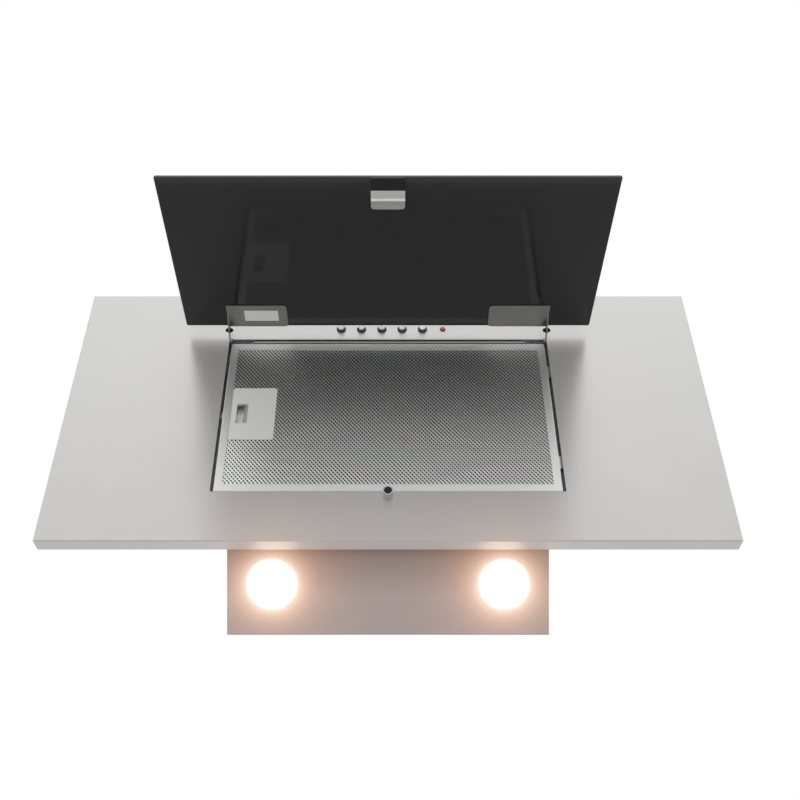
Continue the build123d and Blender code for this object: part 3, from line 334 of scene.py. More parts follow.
def new_material(name):
    """A node material. Gives it with its tree, its Principled shader and its Object coordinates."""
    material = bpy.data.materials.new(name)
    material.use_nodes = True
    tree = material.node_tree
    place = tree.nodes.new("ShaderNodeTexCoord")
    return material, tree, tree.nodes["Principled BSDF"], place.outputs["Object"]


def start_group(name, inputs, outputs):
    """A new shader group with named inputs and outputs. Gives it with its input sockets and its end."""
    group = bpy.data.node_groups.new(name, "ShaderNodeTree")
    for label, kind, value in inputs:
        socket = group.interface.new_socket(name=label, in_out="INPUT", socket_type=kind)
        if value is not None:
            socket.default_value = value
    for label, kind in outputs:
        group.interface.new_socket(name=label, in_out="OUTPUT", socket_type=kind)
    return group, group.nodes.new("NodeGroupInput").outputs, group.nodes.new("NodeGroupOutput")


def close_group(group, end, values):
    """Feeds a group's named outputs and sets its nodes in order. Gives the group."""
    set_inputs(group, end, values)
    lay_out(group, end)
    return group


def place_group(tree, group, values):
    """Places a shader group in a material, with its own values. Gives its output sockets."""
    node = tree.nodes.new("ShaderNodeGroup")
    node.node_tree = group
    set_inputs(tree, node, values)
    return node.outputs


# ---------------------------------------------------------------- effects that finishes share


def build_brushed_group():
    """Fine parallel scratches, and the broad uneven tone of rolled sheet."""
    group, given, end = start_group(
        "Brushed grain",
        [
            ("Vector", "NodeSocketVector", None),
            ("Stretch", "NodeSocketVector", BRUSHED_ACROSS),
            ("Tone", "NodeSocketFloat", 0.06),
        ],
        [("Shade", "NodeSocketFloat"), ("Scratch", "NodeSocketFloat")],
    )
    stretched = vector_maths(group, "MULTIPLY", given["Vector"], given["Stretch"])
    scratch = noise(group, stretched, scale=1.0, detail=2.0)
    cloud = noise(group, given["Vector"], scale=7.0, detail=3.0)
    shade = uneven(group, scratch, cloud, given["Tone"])
    return close_group(group, end, {"Shade": shade, "Scratch": scratch})


def build_grain_group():
    """The fine grain of a cast, moulded or painted surface, and its slight change of tone."""
    group, given, end = start_group(
        "Fine grain",
        [
            ("Vector", "NodeSocketVector", None),
            ("Scale", "NodeSocketFloat", 900.0),
            ("Tone", "NodeSocketFloat", 0.1),
        ],
        [("Shade", "NodeSocketFloat"), ("Grain", "NodeSocketFloat")],
    )
    fine = noise(group, given["Vector"], given["Scale"], detail=4.0)
    broad = noise(group, given["Vector"], scale=14.0, detail=2.0)
    shade = uneven(group, fine, broad, given["Tone"])
    return close_group(group, end, {"Shade": shade, "Grain": fine})


def build_painted_shade_group():
    """Painted shade: a share that grows from its darkest to 1 over a stretch of one direction."""
    group, given, end = start_group(
        "Painted shade along",
        [
            ("Vector", "NodeSocketVector", None),
            ("Direction", "NodeSocketVector", TO_WALL),
            ("Start", "NodeSocketFloat", 0.0),
            ("End", "NodeSocketFloat", 1.0),
            ("Darkest", "NodeSocketFloat", 0.5),
        ],
        [("Share", "NodeSocketFloat")],
    )
    distance = vector_maths(group, "DOT_PRODUCT", given["Vector"], given["Direction"])
    share = remap(group, distance, given["Darkest"], 1.0, start=given["Start"], end=given["End"])
    return close_group(group, end, {"Share": share})


# Red, green and blue of the painted glow at a lamp's rim, and how fast each falls off outwards
PAINTED_HALO_CHANNELS = (("Red", 0.72, 2.0), ("Green", 0.47, 2.7), ("Blue", 0.36, 3.7))


def build_painted_halo_group():
    """A glow painted round the two lit lamps on what looks down, weaker and redder outwards."""
    group, given, end = start_group(
        "Painted lamp halo",
        [
            ("Vector", "NodeSocketVector", None),
            ("Normal", "NodeSocketVector", None),
            ("Left lamp", "NodeSocketVector", lamp_foot("lamp_ring_left")),
            ("Right lamp", "NodeSocketVector", lamp_foot("lamp_ring_right")),
            ("Radius", "NodeSocketFloat", 0.034),
            ("Full share", "NodeSocketFloat", 0.6),
        ],
        [("Glow", "NodeSocketColor")],
    )
    on_ground = vector_maths(group, "MULTIPLY", given["Vector"], (1, 1, 0))
    nearness = []
    for lamp in ("Left lamp", "Right lamp"):
        gap = vector_maths(group, "DISTANCE", on_ground, given[lamp])
        nearness.append(maths(group, "DIVIDE", given["Radius"], gap))
    painted_halo = group.nodes.new("ShaderNodeCombineColor")
    for channel, amount, power in PAINTED_HALO_CHANNELS:
        both = maths(group, "ADD", *[maths(group, "POWER", near, power) for near in nearness])
        feed(group, painted_halo.inputs[channel], maths(group, "MULTIPLY", both, amount))
    facing = vector_maths(group, "DOT_PRODUCT", given["Normal"], DOWN)
    share = remap(group, facing, low=0.0, high=1.0, end=given["Full share"])
    glow = vector_maths(group, "SCALE", painted_halo.outputs["Color"], share)
    return close_group(group, end, {"Glow": glow})


def add_painted_shade(material, shade_group, direction, start, end, darkest):
    """Paints shade on a finish, darker towards the start of a stretch along a direction, as deep in a recess.
    """
    tree = material.node_tree
    shader = tree.nodes["Principled BSDF"]
    colour = shader.inputs["Base Color"].links[0].from_socket
    place = tree.nodes["Texture Coordinate"].outputs["Object"]
    stretch = {"Direction": direction, "Start": start, "End": end, "Darkest": darkest}
    share = place_group(tree, shade_group, {"Vector": place, **stretch})["Share"]
    set_inputs(tree, shader, {"Base Color": vector_maths(tree, "SCALE", colour, share)})


def add_painted_halo(material, painted_halo, strength):
    """Paints the lamps' glow as emission on the faces of a finish that look down near them."""
    tree = material.node_tree
    place = tree.nodes["Texture Coordinate"].outputs
    glow = place_group(tree, painted_halo, {"Vector": place["Object"], "Normal": place["Normal"]})["Glow"]
    shader = tree.nodes["Principled BSDF"]
    set_inputs(tree, shader, {"Emission Color": glow, "Emission Strength": strength})


# ---------------------------------------------------------------- finishes

# How finely the grain of each brushed finish is drawn along X, Y and Z. It lies along the least one.
BRUSHED_ACROSS = (9.0, 2600.0, 2600.0)
BRUSHED_UPRIGHT = (800.0, 800.0, 5.0)
ROLLED_ACROSS = (60.0, 400.0, 400.0)
TURNED_UPRIGHT = (420.0, 40.0, 40.0)

# Material, colour, roughness, metal, grain scale, relief and change of tone of each plain finish
PLAIN_FINISHES = {
    "polished": ("Polished steel", (0.64, 0.64, 0.63), 0.14, 1.0, 900.0, 0.01, 0.04),
    "lamp_ring": ("Lamp ring steel", (0.72, 0.72, 0.71), 0.20, 1.0, 900.0, 0.01, 0.04),
    "frame": ("Frame aluminium", (0.92, 0.92, 0.91), 0.34, 0.75, 1200.0, 0.05, 0.05),
    "satin": ("Satin aluminium", (0.68, 0.68, 0.67), 0.36, 1.0, 1200.0, 0.05, 0.06),
    "plate": ("Blasted aluminium", (0.97, 0.97, 0.96), 0.50, 0.0, 1600.0, 0.04, 0.04),
    "slider": ("Slider aluminium", (0.95, 0.95, 0.94), 0.45, 0.3, 1600.0, 0.04, 0.04),
    "strike": ("Blackened steel", (0.012, 0.012, 0.012), 0.40, 0.5, 900.0, 0.03, 0.1),
    "net": ("Net aluminium", (0.97, 0.97, 0.96), 0.32, 1.0, 900.0, 0.03, 0.08),
    "core": ("Filter core", (0.045, 0.045, 0.045), 0.50, 1.0, 260.0, 0.8, 0.5),
    "label": ("Blank label", (0.90, 0.90, 0.89), 0.50, 0.0, 700.0, 0.02, 0.03),
    "dark_plastic": ("Dark plastic", (0.03, 0.03, 0.033), 0.45, 0.0, 1500.0, 0.08, 0.1),
    "grey_plastic": ("Grey plastic", (0.45, 0.45, 0.44), 0.50, 0.0, 1500.0, 0.08, 0.1),
    "red_lens": ("Red lens", (0.35, 0.005, 0.02), 0.15, 0.0, 300.0, 0.01, 0.1),
    "magnet": ("Sintered magnet", (0.03, 0.03, 0.033), 0.55, 0.6, 900.0, 0.2, 0.1),
    "motor_paint": ("Motor paint", (0.05, 0.05, 0.055), 0.50, 0.0, 600.0, 0.15, 0.1),
}

NODES_OF_FINISH = {
    "panel": ("front_panel",),
    "lamp_plate": ("lamp_plate",),
    "body": ("back_plate", "side_panel_left", "side_panel_right", "shoulder_panel", "top_plate"),
    "duct_cover": ("duct_cover_lower", "duct_cover_upper"),
    "zinc": (
        "filter_seat", "hinge_plate_left", "hinge_plate_right", "outlet_collar", "scroll_half_left",
        "scroll_half_right", "motor_mount", "impeller", "wall_bracket",
    ),
    "polished": ("catch_post", "catch_pull", "collar_screws"),
    "lamp_ring": ("lamp_ring_left", "lamp_ring_right"),
    "button": ("push_button_1", "push_button_2", "push_button_3", "push_button_4", "push_button_5"),
    "bracket": ("door_bracket_left", "door_bracket_right", "hinge_pins", "flap_rod", "motor_shaft"),
    "frame": ("filter_frame",),
    "satin": ("lamp_can_left", "lamp_can_right", "capacitor", "damper_flap_front", "damper_flap_back"),
    "plate": ("latch_plate",),
    "slider": ("latch_slider",),
    "strike": ("catch_strike",),
    "core": ("filter_core",),
    "glass": ("door_glass",),
    "label": ("blank_label",),
    "dark_plastic": ("button_bezels", "switch_block", "lamp_transformer", "cable_gland"),
    "grey_plastic": ("terminal_box", "terminal_cover"),
    "red_lens": ("indicator_lens",),
    "magnet": ("catch_magnet",),
    "motor_paint": ("motor",),
    "lamp_glass": ("lamp_lens_left", "lamp_lens_right"),
    "bulb_glass": ("lamp_bulb_left", "lamp_bulb_right"),
}

# How strongly the lamps' glow is painted on each finish near them
PAINTED_HALO_STRENGTHS = {"panel": 0.5, "lamp_plate": 1.12, "lamp_ring": 1.2}

# Each finish that has been made, by its name in NODES_OF_FINISH
FINISHES = {}


def brushed_steel(name, colour, grain, stretch, roughness, smear=0.75, bump=0.02, tone=0.06):
    """Brushed sheet: scratches along one direction, so that what it mirrors smears across them."""
    spread, depth, quarter_turn = 0.05, 0.0002, 0.25
    material, tree, shader, place = new_material(name)
    brushed = place_group(tree, grain, {"Vector": place, "Stretch": stretch, "Tone": tone})
    scratch = brushed["Scratch"]
    along = tree.nodes.new("ShaderNodeCombineXYZ")
    along.inputs["X" if stretch[0] < stretch[2] else "Z"].default_value = 1.0
    set_inputs(tree, shader, {
        "Base Color": vector_maths(tree, "SCALE", colour[:3], brushed["Shade"]),
        "Roughness": remap(tree, scratch, roughness - spread, roughness + spread),
        "Normal": relief(tree, scratch, bump, depth),
        "Tangent": along.outputs[0],
        "Metallic": 1.0,
        "Anisotropic": smear,
        "Anisotropic Rotation": quarter_turn,
    })
    return material


def plain_finish(grain, name, colour, roughness, metallic, scale, bump, tone):
    """A cast, moulded or painted finish with a fine grain and a slight change of tone."""
    spread, smoothest, depth = 0.06, 0.02, 0.0003
    material, tree, shader, place = new_material(name)
    cast = place_group(tree, grain, {"Vector": place, "Scale": scale, "Tone": tone})
    set_inputs(tree, shader, {
        "Base Color": vector_maths(tree, "SCALE", colour, cast["Shade"]),
        "Roughness": remap(tree, cast["Grain"], max(roughness - spread, smoothest), roughness + spread),
        "Normal": relief(tree, cast["Grain"], bump, depth),
        "Metallic": metallic,
    })
    return material


def galvanised_sheet(name, colour):
    """Galvanised sheet, with the patchwork of zinc crystals."""
    crystals_per_metre = 110.0
    material, tree, shader, place = new_material(name)
    cells = tree.nodes.new("ShaderNodeTexVoronoi")
    split = tree.nodes.new("ShaderNodeSeparateColor")
    set_inputs(tree, cells, {"Vector": place, "Scale": crystals_per_metre})
    set_inputs(tree, split, {"Color": cells.outputs["Color"]})
    shade = remap(tree, split.outputs["Red"], low=0.82, high=1.1)
    set_inputs(tree, shader, {
        "Base Color": vector_maths(tree, "SCALE", colour, shade),
        "Roughness": remap(tree, split.outputs["Green"], low=0.34, high=0.5),
        "Metallic": 1.0,
    })
    return material


def black_glass(name, colour):
    """Black enamelled glass: a deep gloss with a trace of haze."""
    material, tree, shader, place = new_material(name)
    haze = noise(tree, place, scale=9.0, detail=3.0)
    shade = remap(tree, haze, low=0.9, high=1.1)
    set_inputs(tree, shader, {
        "Base Color": vector_maths(tree, "SCALE", colour[:3], shade),
        "Roughness": remap(tree, haze, low=0.08, high=0.12),
    })
    return material


def lit_glass(name, colour, strength, speckle):
    """Glass that shines, with a slight speckle in its light."""
    material, tree, shader, place = new_material(name)
    share = remap(tree, noise(tree, place, scale=420.0, detail=2.0), low=1.0 - speckle, high=1.0)
    set_inputs(tree, shader, {
        "Base Color": (0.9, 0.88, 0.84, 1),
        "Roughness": 0.35,
        "Emission Color": vector_maths(tree, "SCALE", colour[:3], share),
        "Emission Strength": strength,
    })
    return material


# ---------------------------------------------------------------- modelling helpers


def deselect_all():
    """Leaves nothing selected, so that an operator acts on the new piece alone."""
    if bpy.context.object and bpy.context.object.mode != "OBJECT":
        bpy.ops.object.mode_set(mode="OBJECT")
    bpy.ops.object.select_all(action="DESELECT")


def finish_piece(piece, name, material, body):
    """Names a finished piece, bakes its place into its mesh, and ties it to its body and finish."""
    deselect_all()
    piece.select_set(True)
    bpy.context.view_layer.objects.active = piece
    bpy.ops.object.transform_apply(location=True, rotation=True, scale=True)
    piece.name = name
    piece.data.name = name
    piece.data.materials.clear()
    piece.data.materials.append(material)
    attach(piece, body)


def select_in_edit(test_face):
    """In edit mode, selects only the faces that pass the test."""
    mesh = bmesh.from_edit_mesh(bpy.context.object.data)
    for face in mesh.faces:
        face.select_set(False)
    for face in mesh.faces:
        if test_face(face):
            face.select_set(True)
    bmesh.update_edit_mesh(bpy.context.object.data)


def is_top(face):
    """Whether a face looks up."""
    return face.normal.z > 0.9


def apply_modifier(piece, kind, **settings):
    """Finishes a piece with a modifier, applied at once."""
    modifier = piece.modifiers.new(kind.title(), kind)
    for setting, value in settings.items():
        setattr(modifier, setting, value)
    bpy.ops.object.modifier_apply(modifier=modifier.name)


def add_disc(vertices, radius, thickness, bottom=0.0):
    """A flat disc or hexagon along Z, from which a small piece is shaped."""
    deselect_all()
    middle = (0, 0, bottom + thickness / 2)
    bpy.ops.mesh.primitive_cylinder_add(vertices=vertices, radius=radius, depth=thickness, location=middle)
    bpy.ops.object.transform_apply(location=True)
    return bpy.context.object


def add_plate(width, height):
    """In edit mode, a flat rectangle across Z, from which a folded or pressed piece is shaped."""
    deselect_all()
    bpy.ops.mesh.primitive_plane_add(size=1)
    bpy.ops.object.mode_set(mode="EDIT")
    bpy.ops.transform.resize(value=(width, height, 1))
    return bpy.context.object


def extrude(x, y, z):
    """Extrudes what is selected in edit mode by a distance."""
    bpy.ops.mesh.extrude_region_move(TRANSFORM_OT_translate={"value": (x, y, z)})


def face_outwards():
    """Points all faces of a piece outwards, and leaves edit mode."""
    bpy.ops.mesh.select_all(action="SELECT")
    bpy.ops.mesh.normals_make_consistent(inside=False)
    bpy.ops.object.mode_set(mode="OBJECT")


def joined_copies(piece, matrices):
    """One object of as many copies of a piece as there are matrices, each with its own mesh."""
    copies = []
    for matrix in matrices:
        twin = piece.copy()
        twin.data = piece.data.copy()
        bpy.context.collection.objects.link(twin)
        twin.matrix_world = matrix
        copies.append(twin)
    bpy.data.objects.remove(piece)
    deselect_all()
    for twin in copies:
        twin.select_set(True)
    bpy.context.view_layer.objects.active = copies[0]
    bpy.ops.object.join()
    return copies[0]


# ---------------------------------------------------------------- small pieces that repeat


def pan_head(radius):
    """A crowned screw head with a cross recess, its underside at the origin."""
    height, rim, rise = radius * 0.5, radius * 0.25, radius * 0.2
    half_slot, slot_depth = radius * 0.15, radius * 0.3
    crown = height + rise * 0.75
    head = add_disc(vertices=24, radius=radius, thickness=height)
    bpy.ops.object.mode_set(mode="EDIT")
    select_in_edit(is_top)
    bpy.ops.mesh.inset(thickness=rim)
    bpy.ops.transform.translate(value=(0, 0, rise))

    def in_crown(face):
        return is_top(face) and face.calc_center_median().z > crown

    def in_cross(face):
        place = face.calc_center_median()
        return in_crown(face) and min(abs(place.x), abs(place.y)) < half_slot

    for direction in (Vector((1, 0, 0)), Vector((0, 1, 0))):
        for sign in (1, -1):
            select_in_edit(in_crown)
            bpy.ops.mesh.bisect(plane_co=direction * sign * half_slot, plane_no=direction)
    select_in_edit(in_cross)
    extrude(0, 0, -slot_depth)
    bpy.ops.object.mode_set(mode="OBJECT")
    bpy.ops.object.shade_smooth_by_angle(angle=math.radians(30))
    return head


def hexagon_head(radius):
    """A hexagon on a washer, with the end of its bolt standing out, its underside at the origin."""
    washer, washer_radius = radius * 0.3, radius * 1.3
    height, chamfer, crown = radius * 0.8, radius * 0.2, radius * 0.12
    shoulder, bolt_end = radius * 0.3, radius * 0.35
    foot = add_disc(vertices=24, radius=washer_radius, thickness=washer)
    head = add_disc(vertices=6, radius=radius, thickness=height, bottom=washer)
    bpy.ops.object.mode_set(mode="EDIT")
    select_in_edit(is_top)
    bpy.ops.mesh.inset(thickness=chamfer)
    bpy.ops.transform.translate(value=(0, 0, crown))
    bpy.ops.mesh.inset(thickness=shoulder)
    extrude(0, 0, bolt_end)
    bpy.ops.object.mode_set(mode="OBJECT")
    foot.select_set(True)
    head.select_set(True)
    bpy.context.view_layer.objects.active = head
    bpy.ops.object.join()
    return head


def weld_mark(radius):
    """The low ring with a sunk middle that a spot weld leaves."""
    height, ring, slope, sink = radius * 0.12, radius * 0.3, radius * 0.15, radius * 0.096
    mark = add_disc(vertices=20, radius=radius, thickness=height)
    bpy.ops.object.mode_set(mode="EDIT")
    select_in_edit(is_top)
    bpy.ops.mesh.inset(thickness=ring)
    bpy.ops.mesh.inset(thickness=slope)
    bpy.ops.transform.translate(value=(0, 0, -sink))
    bpy.ops.object.mode_set(mode="OBJECT")
    bpy.ops.object.shade_smooth_by_angle(angle=math.radians(40))
    return mark


# ---------------------------------------------------------------- nets


def diamond_sheet(half_width, half_height, pitch_across, pitch_up):
    """In edit mode, a flat sheet that is divided into diamonds and cut to its size."""
    cells = 2 * math.ceil(half_width / pitch_across + half_height / pitch_up) + 2
    deselect_all()
    bpy.ops.mesh.primitive_grid_add(
        x_subdivisions=cells, y_subdivisions=cells, size=cells * pitch_across / math.sqrt(2),
    )
    bpy.ops.object.mode_set(mode="EDIT")
    bpy.ops.transform.rotate(value=math.radians(45), orient_axis="Z", center_override=(0, 0, 0))
    bpy.ops.transform.resize(value=(1, pitch_up / pitch_across, 1), center_override=(0, 0, 0))
    for direction, distance in ((Vector((1, 0, 0)), half_width), (Vector((0, 1, 0)), half_height)):
        for normal in (direction, -direction):
            bpy.ops.mesh.select_all(action="SELECT")
            bpy.ops.mesh.bisect(plane_co=normal * distance, plane_no=normal, clear_outer=True)
    return bpy.context.object


def lean_strands(net, sizes, share):
    """Squeezes and tilts each selected opening about its own middle, so that one way of the strands
    is broad and the other narrow. No transform operator does that to many faces at once."""
    pitch_across, pitch_up = sizes.pitch_across * share, sizes.pitch_up * share
    mesh = bmesh.from_edit_mesh(net.data)
    for opening in [face for face in mesh.faces if face.select]:
        middle = opening.calc_center_median()
        for vertex in opening.verts:
            right = (vertex.co.x - middle.x) / pitch_across
            up = (vertex.co.y - middle.y) / pitch_up
            rising, falling = (right + up) * sizes.broad, (right - up) * sizes.narrow
            vertex.co.x = middle.x + (rising + falling) / 2 * pitch_across
            vertex.co.y = middle.y + (rising - falling) / 2 * pitch_up
            vertex.co.z -= 2 * sizes.tilt * share * max(-0.5, min(0.5, rising))
    bmesh.update_edit_mesh(net.data)


def expanded_net(node, room, sizes, share=1.0):
    """A slit and stretched sheet in a CAD net's place: diamonds whose strands lean out of the sheet.
    The room is what stays bare, as its left, right, low and high, and the share its coarseness."""
    left, right = reach(node, ACROSS)
    low, high = reach(node, UP_FACE)
    back, front = reach(node, OUT_OF_FACE)
    pitch_across, pitch_up = sizes.pitch_across * share, sizes.pitch_up * share
    centre = Vector(((left + right) / 2, (low + high) / 2, (back + front) / 2))
    net = diamond_sheet((right - left) / 2, (high - low) / 2, pitch_across, pitch_up)
    if room:
        room_left, room_right, room_low, room_high = room

        def in_room(face):
            place = face.calc_center_median() + centre
            return room_left < place.x < room_right and room_low < place.y < room_high

        select_in_edit(in_room)
        bpy.ops.mesh.delete(type="FACE")
    bpy.ops.mesh.select_all(action="SELECT")
    bpy.ops.mesh.inset(thickness=sizes.strand * share, use_individual=True, use_boundary=True)
    lean_strands(net, sizes, share)
    bpy.ops.mesh.delete(type="FACE")
    bpy.ops.object.mode_set(mode="OBJECT")
    apply_modifier(net, "SOLIDIFY", thickness=sizes.sheet * share, offset=0)
    net.matrix_world = face_place(*centre)
    return net


# ---------------------------------------------------------------- operators


class HOOD_OT_finishes(bpy.types.Operator):
    """Makes every finish and gives each carried-over part its own"""

    bl_idname = "hood.finishes"
    bl_label = "Finishes"

    def execute(self, context):
        colours = context.scene.hood_colours
        self.make_steels(colours)
        grain = build_grain_group()
        for finish, values in PLAIN_FINISHES.items():
            FINISHES[finish] = plain_finish(grain, *values)
        FINISHES["zinc"] = galvanised_sheet("Galvanised sheet", (0.52, 0.53, 0.54))
        FINISHES["glass"] = black_glass("Black glass", colours.glass)
        FINISHES["lamp_glass"] = lit_glass("Lit lens", colours.lamp_light, strength=3.0, speckle=0.08)
        FINISHES["bulb_glass"] = lit_glass("Lit bulb", colours.lamp_light, strength=3.0, speckle=0.05)
        # Painted shade on the lamp plate, in the finger recess and on the slider
        self.add_painted_shades()
        # A glow painted round the lamps on the panel, the lamp plate and the lamp rings
        painted_halo = build_painted_halo_group()
        for finish, strength in PAINTED_HALO_STRENGTHS.items():
            add_painted_halo(FINISHES[finish], painted_halo, strength)
        for material in FINISHES.values():
            lay_out(material.node_tree, material.node_tree.nodes["Material Output"])
        self.dress_parts()
        return {"FINISHED"}

    def make_steels(self, colours):
        """The brushed, rolled and turned steels."""
        grain = build_brushed_group()
        for finish, name, colour in (
            ("panel", "Panel steel", colours.panel_steel),
            ("lamp_plate", "Lamp plate steel", colours.shaded_lamp_steel),
        ):
            FINISHES[finish] = brushed_steel(name, colour, grain, BRUSHED_ACROSS, roughness=0.45, smear=0.93)
        FINISHES["body"] = brushed_steel(
            "Body steel", colours.body_steel, grain, BRUSHED_UPRIGHT, roughness=0.36, tone=0.22, bump=0.06,
        )
        FINISHES["duct_cover"] = brushed_steel(
            "Duct cover steel", colours.body_steel, grain, BRUSHED_UPRIGHT,
            roughness=0.5, smear=0.4, tone=0.3, bump=0.06,
        )
        FINISHES["bracket"] = brushed_steel(
            "Rolled steel", (0.33, 0.33, 0.325), grain, ROLLED_ACROSS, roughness=0.4, smear=0.3,
        )
        FINISHES["button"] = brushed_steel(
            "Turned steel", (0.42, 0.42, 0.42), grain, TURNED_UPRIGHT, roughness=0.5, smear=0.3, tone=1.4,
        )

    def add_painted_shades(self):
        """Paints shade on the lamp plate behind the panel, in the finger recess, and on the slider's upper
        end.
        """
        shade_group = build_painted_shade_group()
        # Painted shade on the lamp plate, darkest at its front by the panel's lip
        front, wall = reach("lamp_plate", TO_WALL)
        shade_share = 0.7
        unshaded_from = front + shade_share * (wall - front)
        add_painted_shade(FINISHES["lamp_plate"], shade_group, TO_WALL, front, unshaded_from, darkest=0.27)
        # Painted shade deep in the finger recess of the latch plate
        face = reach("latch_plate", OUT_OF_FACE)[1]
        recess_bottom, recess_rim = 0.0035, 0.0006
        add_painted_shade(FINISHES["plate"], shade_group, OUT_OF_FACE, face - recess_bottom, face - recess_rim, darkest=0.75)
        # Painted shadow of the recess's upper wall on the slider's upper end
        top = -reach("latch_slider", UP_FACE)[1]
        shaded, clear = 0.004, 0.018
        add_painted_shade(FINISHES["slider"], shade_group, -UP_FACE, top + shaded, top + clear, darkest=0.12)

    def dress_parts(self):
        """Gives each carried-over part its finish."""
        for finish, nodes in NODES_OF_FINISH.items():
            for node in nodes:
                for slot in frame["nodes"][node].material_slots:
                    slot.material = FINISHES[finish]


class HOOD_OT_front_net(bpy.types.Operator):
    """Makes the fine expanded net on the front of the filter"""

    bl_idname = "hood.front_net"
    bl_label = "Front net"

    def execute(self, context):
        sizes = context.scene.hood_net
        plate_left, plate_right = reach("latch_plate", ACROSS)
        plate_low, plate_high = reach("latch_plate", UP_FACE)
        # The net ends under the latch plate, except on the left, where the plate reaches the frame
        lap = 2 * sizes.pitch_up
        room = (plate_left - lap, plate_right - lap, plate_low + lap, plate_high - lap)
        net = expanded_net("filter_mesh_front", room, sizes)
        finish_piece(net, "front_net", FINISHES["net"], "filter")
        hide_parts("filter_mesh_front")
        return {"FINISHED"}


class HOOD_OT_rear_net(bpy.types.Operator):
    """Makes the coarser expanded net on the back of the filter"""

    bl_idname = "hood.rear_net"
    bl_label = "Rear net"

    def execute(self, context):
        sizes = context.scene.hood_net
        net = expanded_net("filter_mesh_rear", None, sizes, share=sizes.rear_share)
        finish_piece(net, "rear_net", FINISHES["net"], "filter")
        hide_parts("filter_mesh_rear")
        return {"FINISHED"}


class HOOD_OT_filter_rail(bpy.types.Operator):
    """Makes the folded strip that closes the gap over the filter, between the hinges"""

    bl_idname = "hood.filter_rail"
    bl_label = "Filter rail"

    def execute(self, context):
        sizes = context.scene.hood_fixings
        ledge = reach("filter_seat", OUT_OF_FACE)[0]
        front = reach("front_panel", OUT_OF_FACE)[1] - sizes.rail_sunk
        low = reach("filter_frame", UP_FACE)[1] + sizes.rail_gap
        fold = sizes.rail_sheet * 0.4
        rail = add_plate(sizes.rail_length, sizes.rail_width)
        # From the front's upper edge the strip folds back to the ledge, and there down again
        mesh = bmesh.from_edit_mesh(rail.data)
        for edge in mesh.edges:
            edge.select_set(all(vertex.co.y > 0 for vertex in edge.verts))
        bmesh.update_edit_mesh(rail.data)
        extrude(0, 0, ledge + 2 * sizes.rail_sheet - front)
        extrude(0, -sizes.rail_width, 0)
        face_outwards()
        apply_modifier(rail, "SOLIDIFY", thickness=sizes.rail_sheet, offset=0)
        apply_modifier(rail, "BEVEL", width=fold, segments=2)
        rail.matrix_world = face_place(sizes.rail_offset, low + sizes.rail_width / 2, front)
        finish_piece(rail, "filter_rail", FINISHES["bracket"], "hood")
        return {"FINISHED"}


class HOOD_OT_latch_pad(bpy.types.Operator):
    """Makes the low square pad pressed into the latch plate beside its finger recess"""

    bl_idname = "hood.latch_pad"
    bl_label = "Latch pad"

    def execute(self, context):
        sizes = context.scene.hood_fixings
        height, width = sizes.pad_height, sizes.pad_width
        rim, dish, soft_edge, length_share = width * 0.15, height * 0.6, height * 0.4, 0.94
        recess_bottom, plate_face = reach("latch_plate", OUT_OF_FACE)
        plate = [point.co for point in frame["nodes"]["latch_plate"].data.vertices]
        recess_right = max(point.x for point in plate if point.dot(OUT_OF_FACE) < recess_bottom + height)
        low, high = reach("latch_slider", UP_FACE)
        pad = add_plate(width, (high - low) * length_share)
        extrude(0, 0, height)
        select_in_edit(lambda face: is_top(face) and face.calc_center_median().z > height / 2)
        bpy.ops.mesh.inset(thickness=rim)
        bpy.ops.transform.translate(value=(0, 0, -dish))
        face_outwards()
        apply_modifier(pad, "BEVEL", width=soft_edge, segments=2)
        bpy.ops.object.shade_smooth_by_angle(angle=math.radians(50))
        pad.matrix_world = face_place(recess_right + width / 2, (low + high) / 2, plate_face)
        finish_piece(pad, "latch_pad", FINISHES["plate"], "filter")
        return {"FINISHED"}


class HOOD_OT_bracket_bolts(bpy.types.Operator):
    """Makes the dark bolt and nut through each hinge arm"""

    bl_idname = "hood.bracket_bolts"
    bl_label = "Bracket bolts"

    def execute(self, context):
        sizes = context.scene.hood_fixings
        up_share, from_end = 0.55, 5.2 * sizes.bolt_radius
        for side, sign in SIDES:
            arm = f"door_bracket_{side}"
            low, high = reach(arm, UP_FACE)
            inner_end = reach(arm, OUT_OF_FACE)[0]
            middle = UP_FACE * (low + (high - low) * up_share) + OUT_OF_FACE * (inner_end + from_end)
            outside = max(abs(edge) for edge in reach(arm, ACROSS))
            inside = outside - sizes.arm_sheet
            places = (
                looking((sign, 0, 0), middle + ACROSS * sign * outside),
                looking((-sign, 0, 0), middle + ACROSS * sign * inside),
            )
            bolt = joined_copies(hexagon_head(sizes.bolt_radius), places)
            finish_piece(bolt, f"bracket_bolt_{side}", FINISHES["strike"], "door")
        return {"FINISHED"}


class HOOD_OT_cover_screws(bpy.types.Operator):
    """Makes the cross-head screws of the duct cover and of the terminal cover"""

    bl_idname = "hood.cover_screws"
    bl_label = "Cover screws"

    def execute(self, context):
        radius = context.scene.hood_fixings.screw_radius
        small_radius, inset = radius * 0.7, radius * 2
        low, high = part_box("wall_bracket")
        cover_low, cover_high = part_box("duct_cover_upper")
        y, z = (low.y + high.y) / 2, (low.z + high.z) / 2
        places = [looking((-1, 0, 0), (cover_low.x, y, z)), looking((1, 0, 0), (cover_high.x, y, z))]
        screws = joined_copies(pan_head(radius), places)
        finish_piece(screws, "duct_cover_screws", FINISHES["polished"], "upper_cover")
        low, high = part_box("terminal_cover")
        ends = (low.y + inset, high.y - inset)
        places = [looking((0, 0, 1), ((low.x + high.x) / 2, end, high.z)) for end in ends]
        screws = joined_copies(pan_head(small_radius), places)
        finish_piece(screws, "terminal_cover_screws", FINISHES["polished"], "hood")
        return {"FINISHED"}


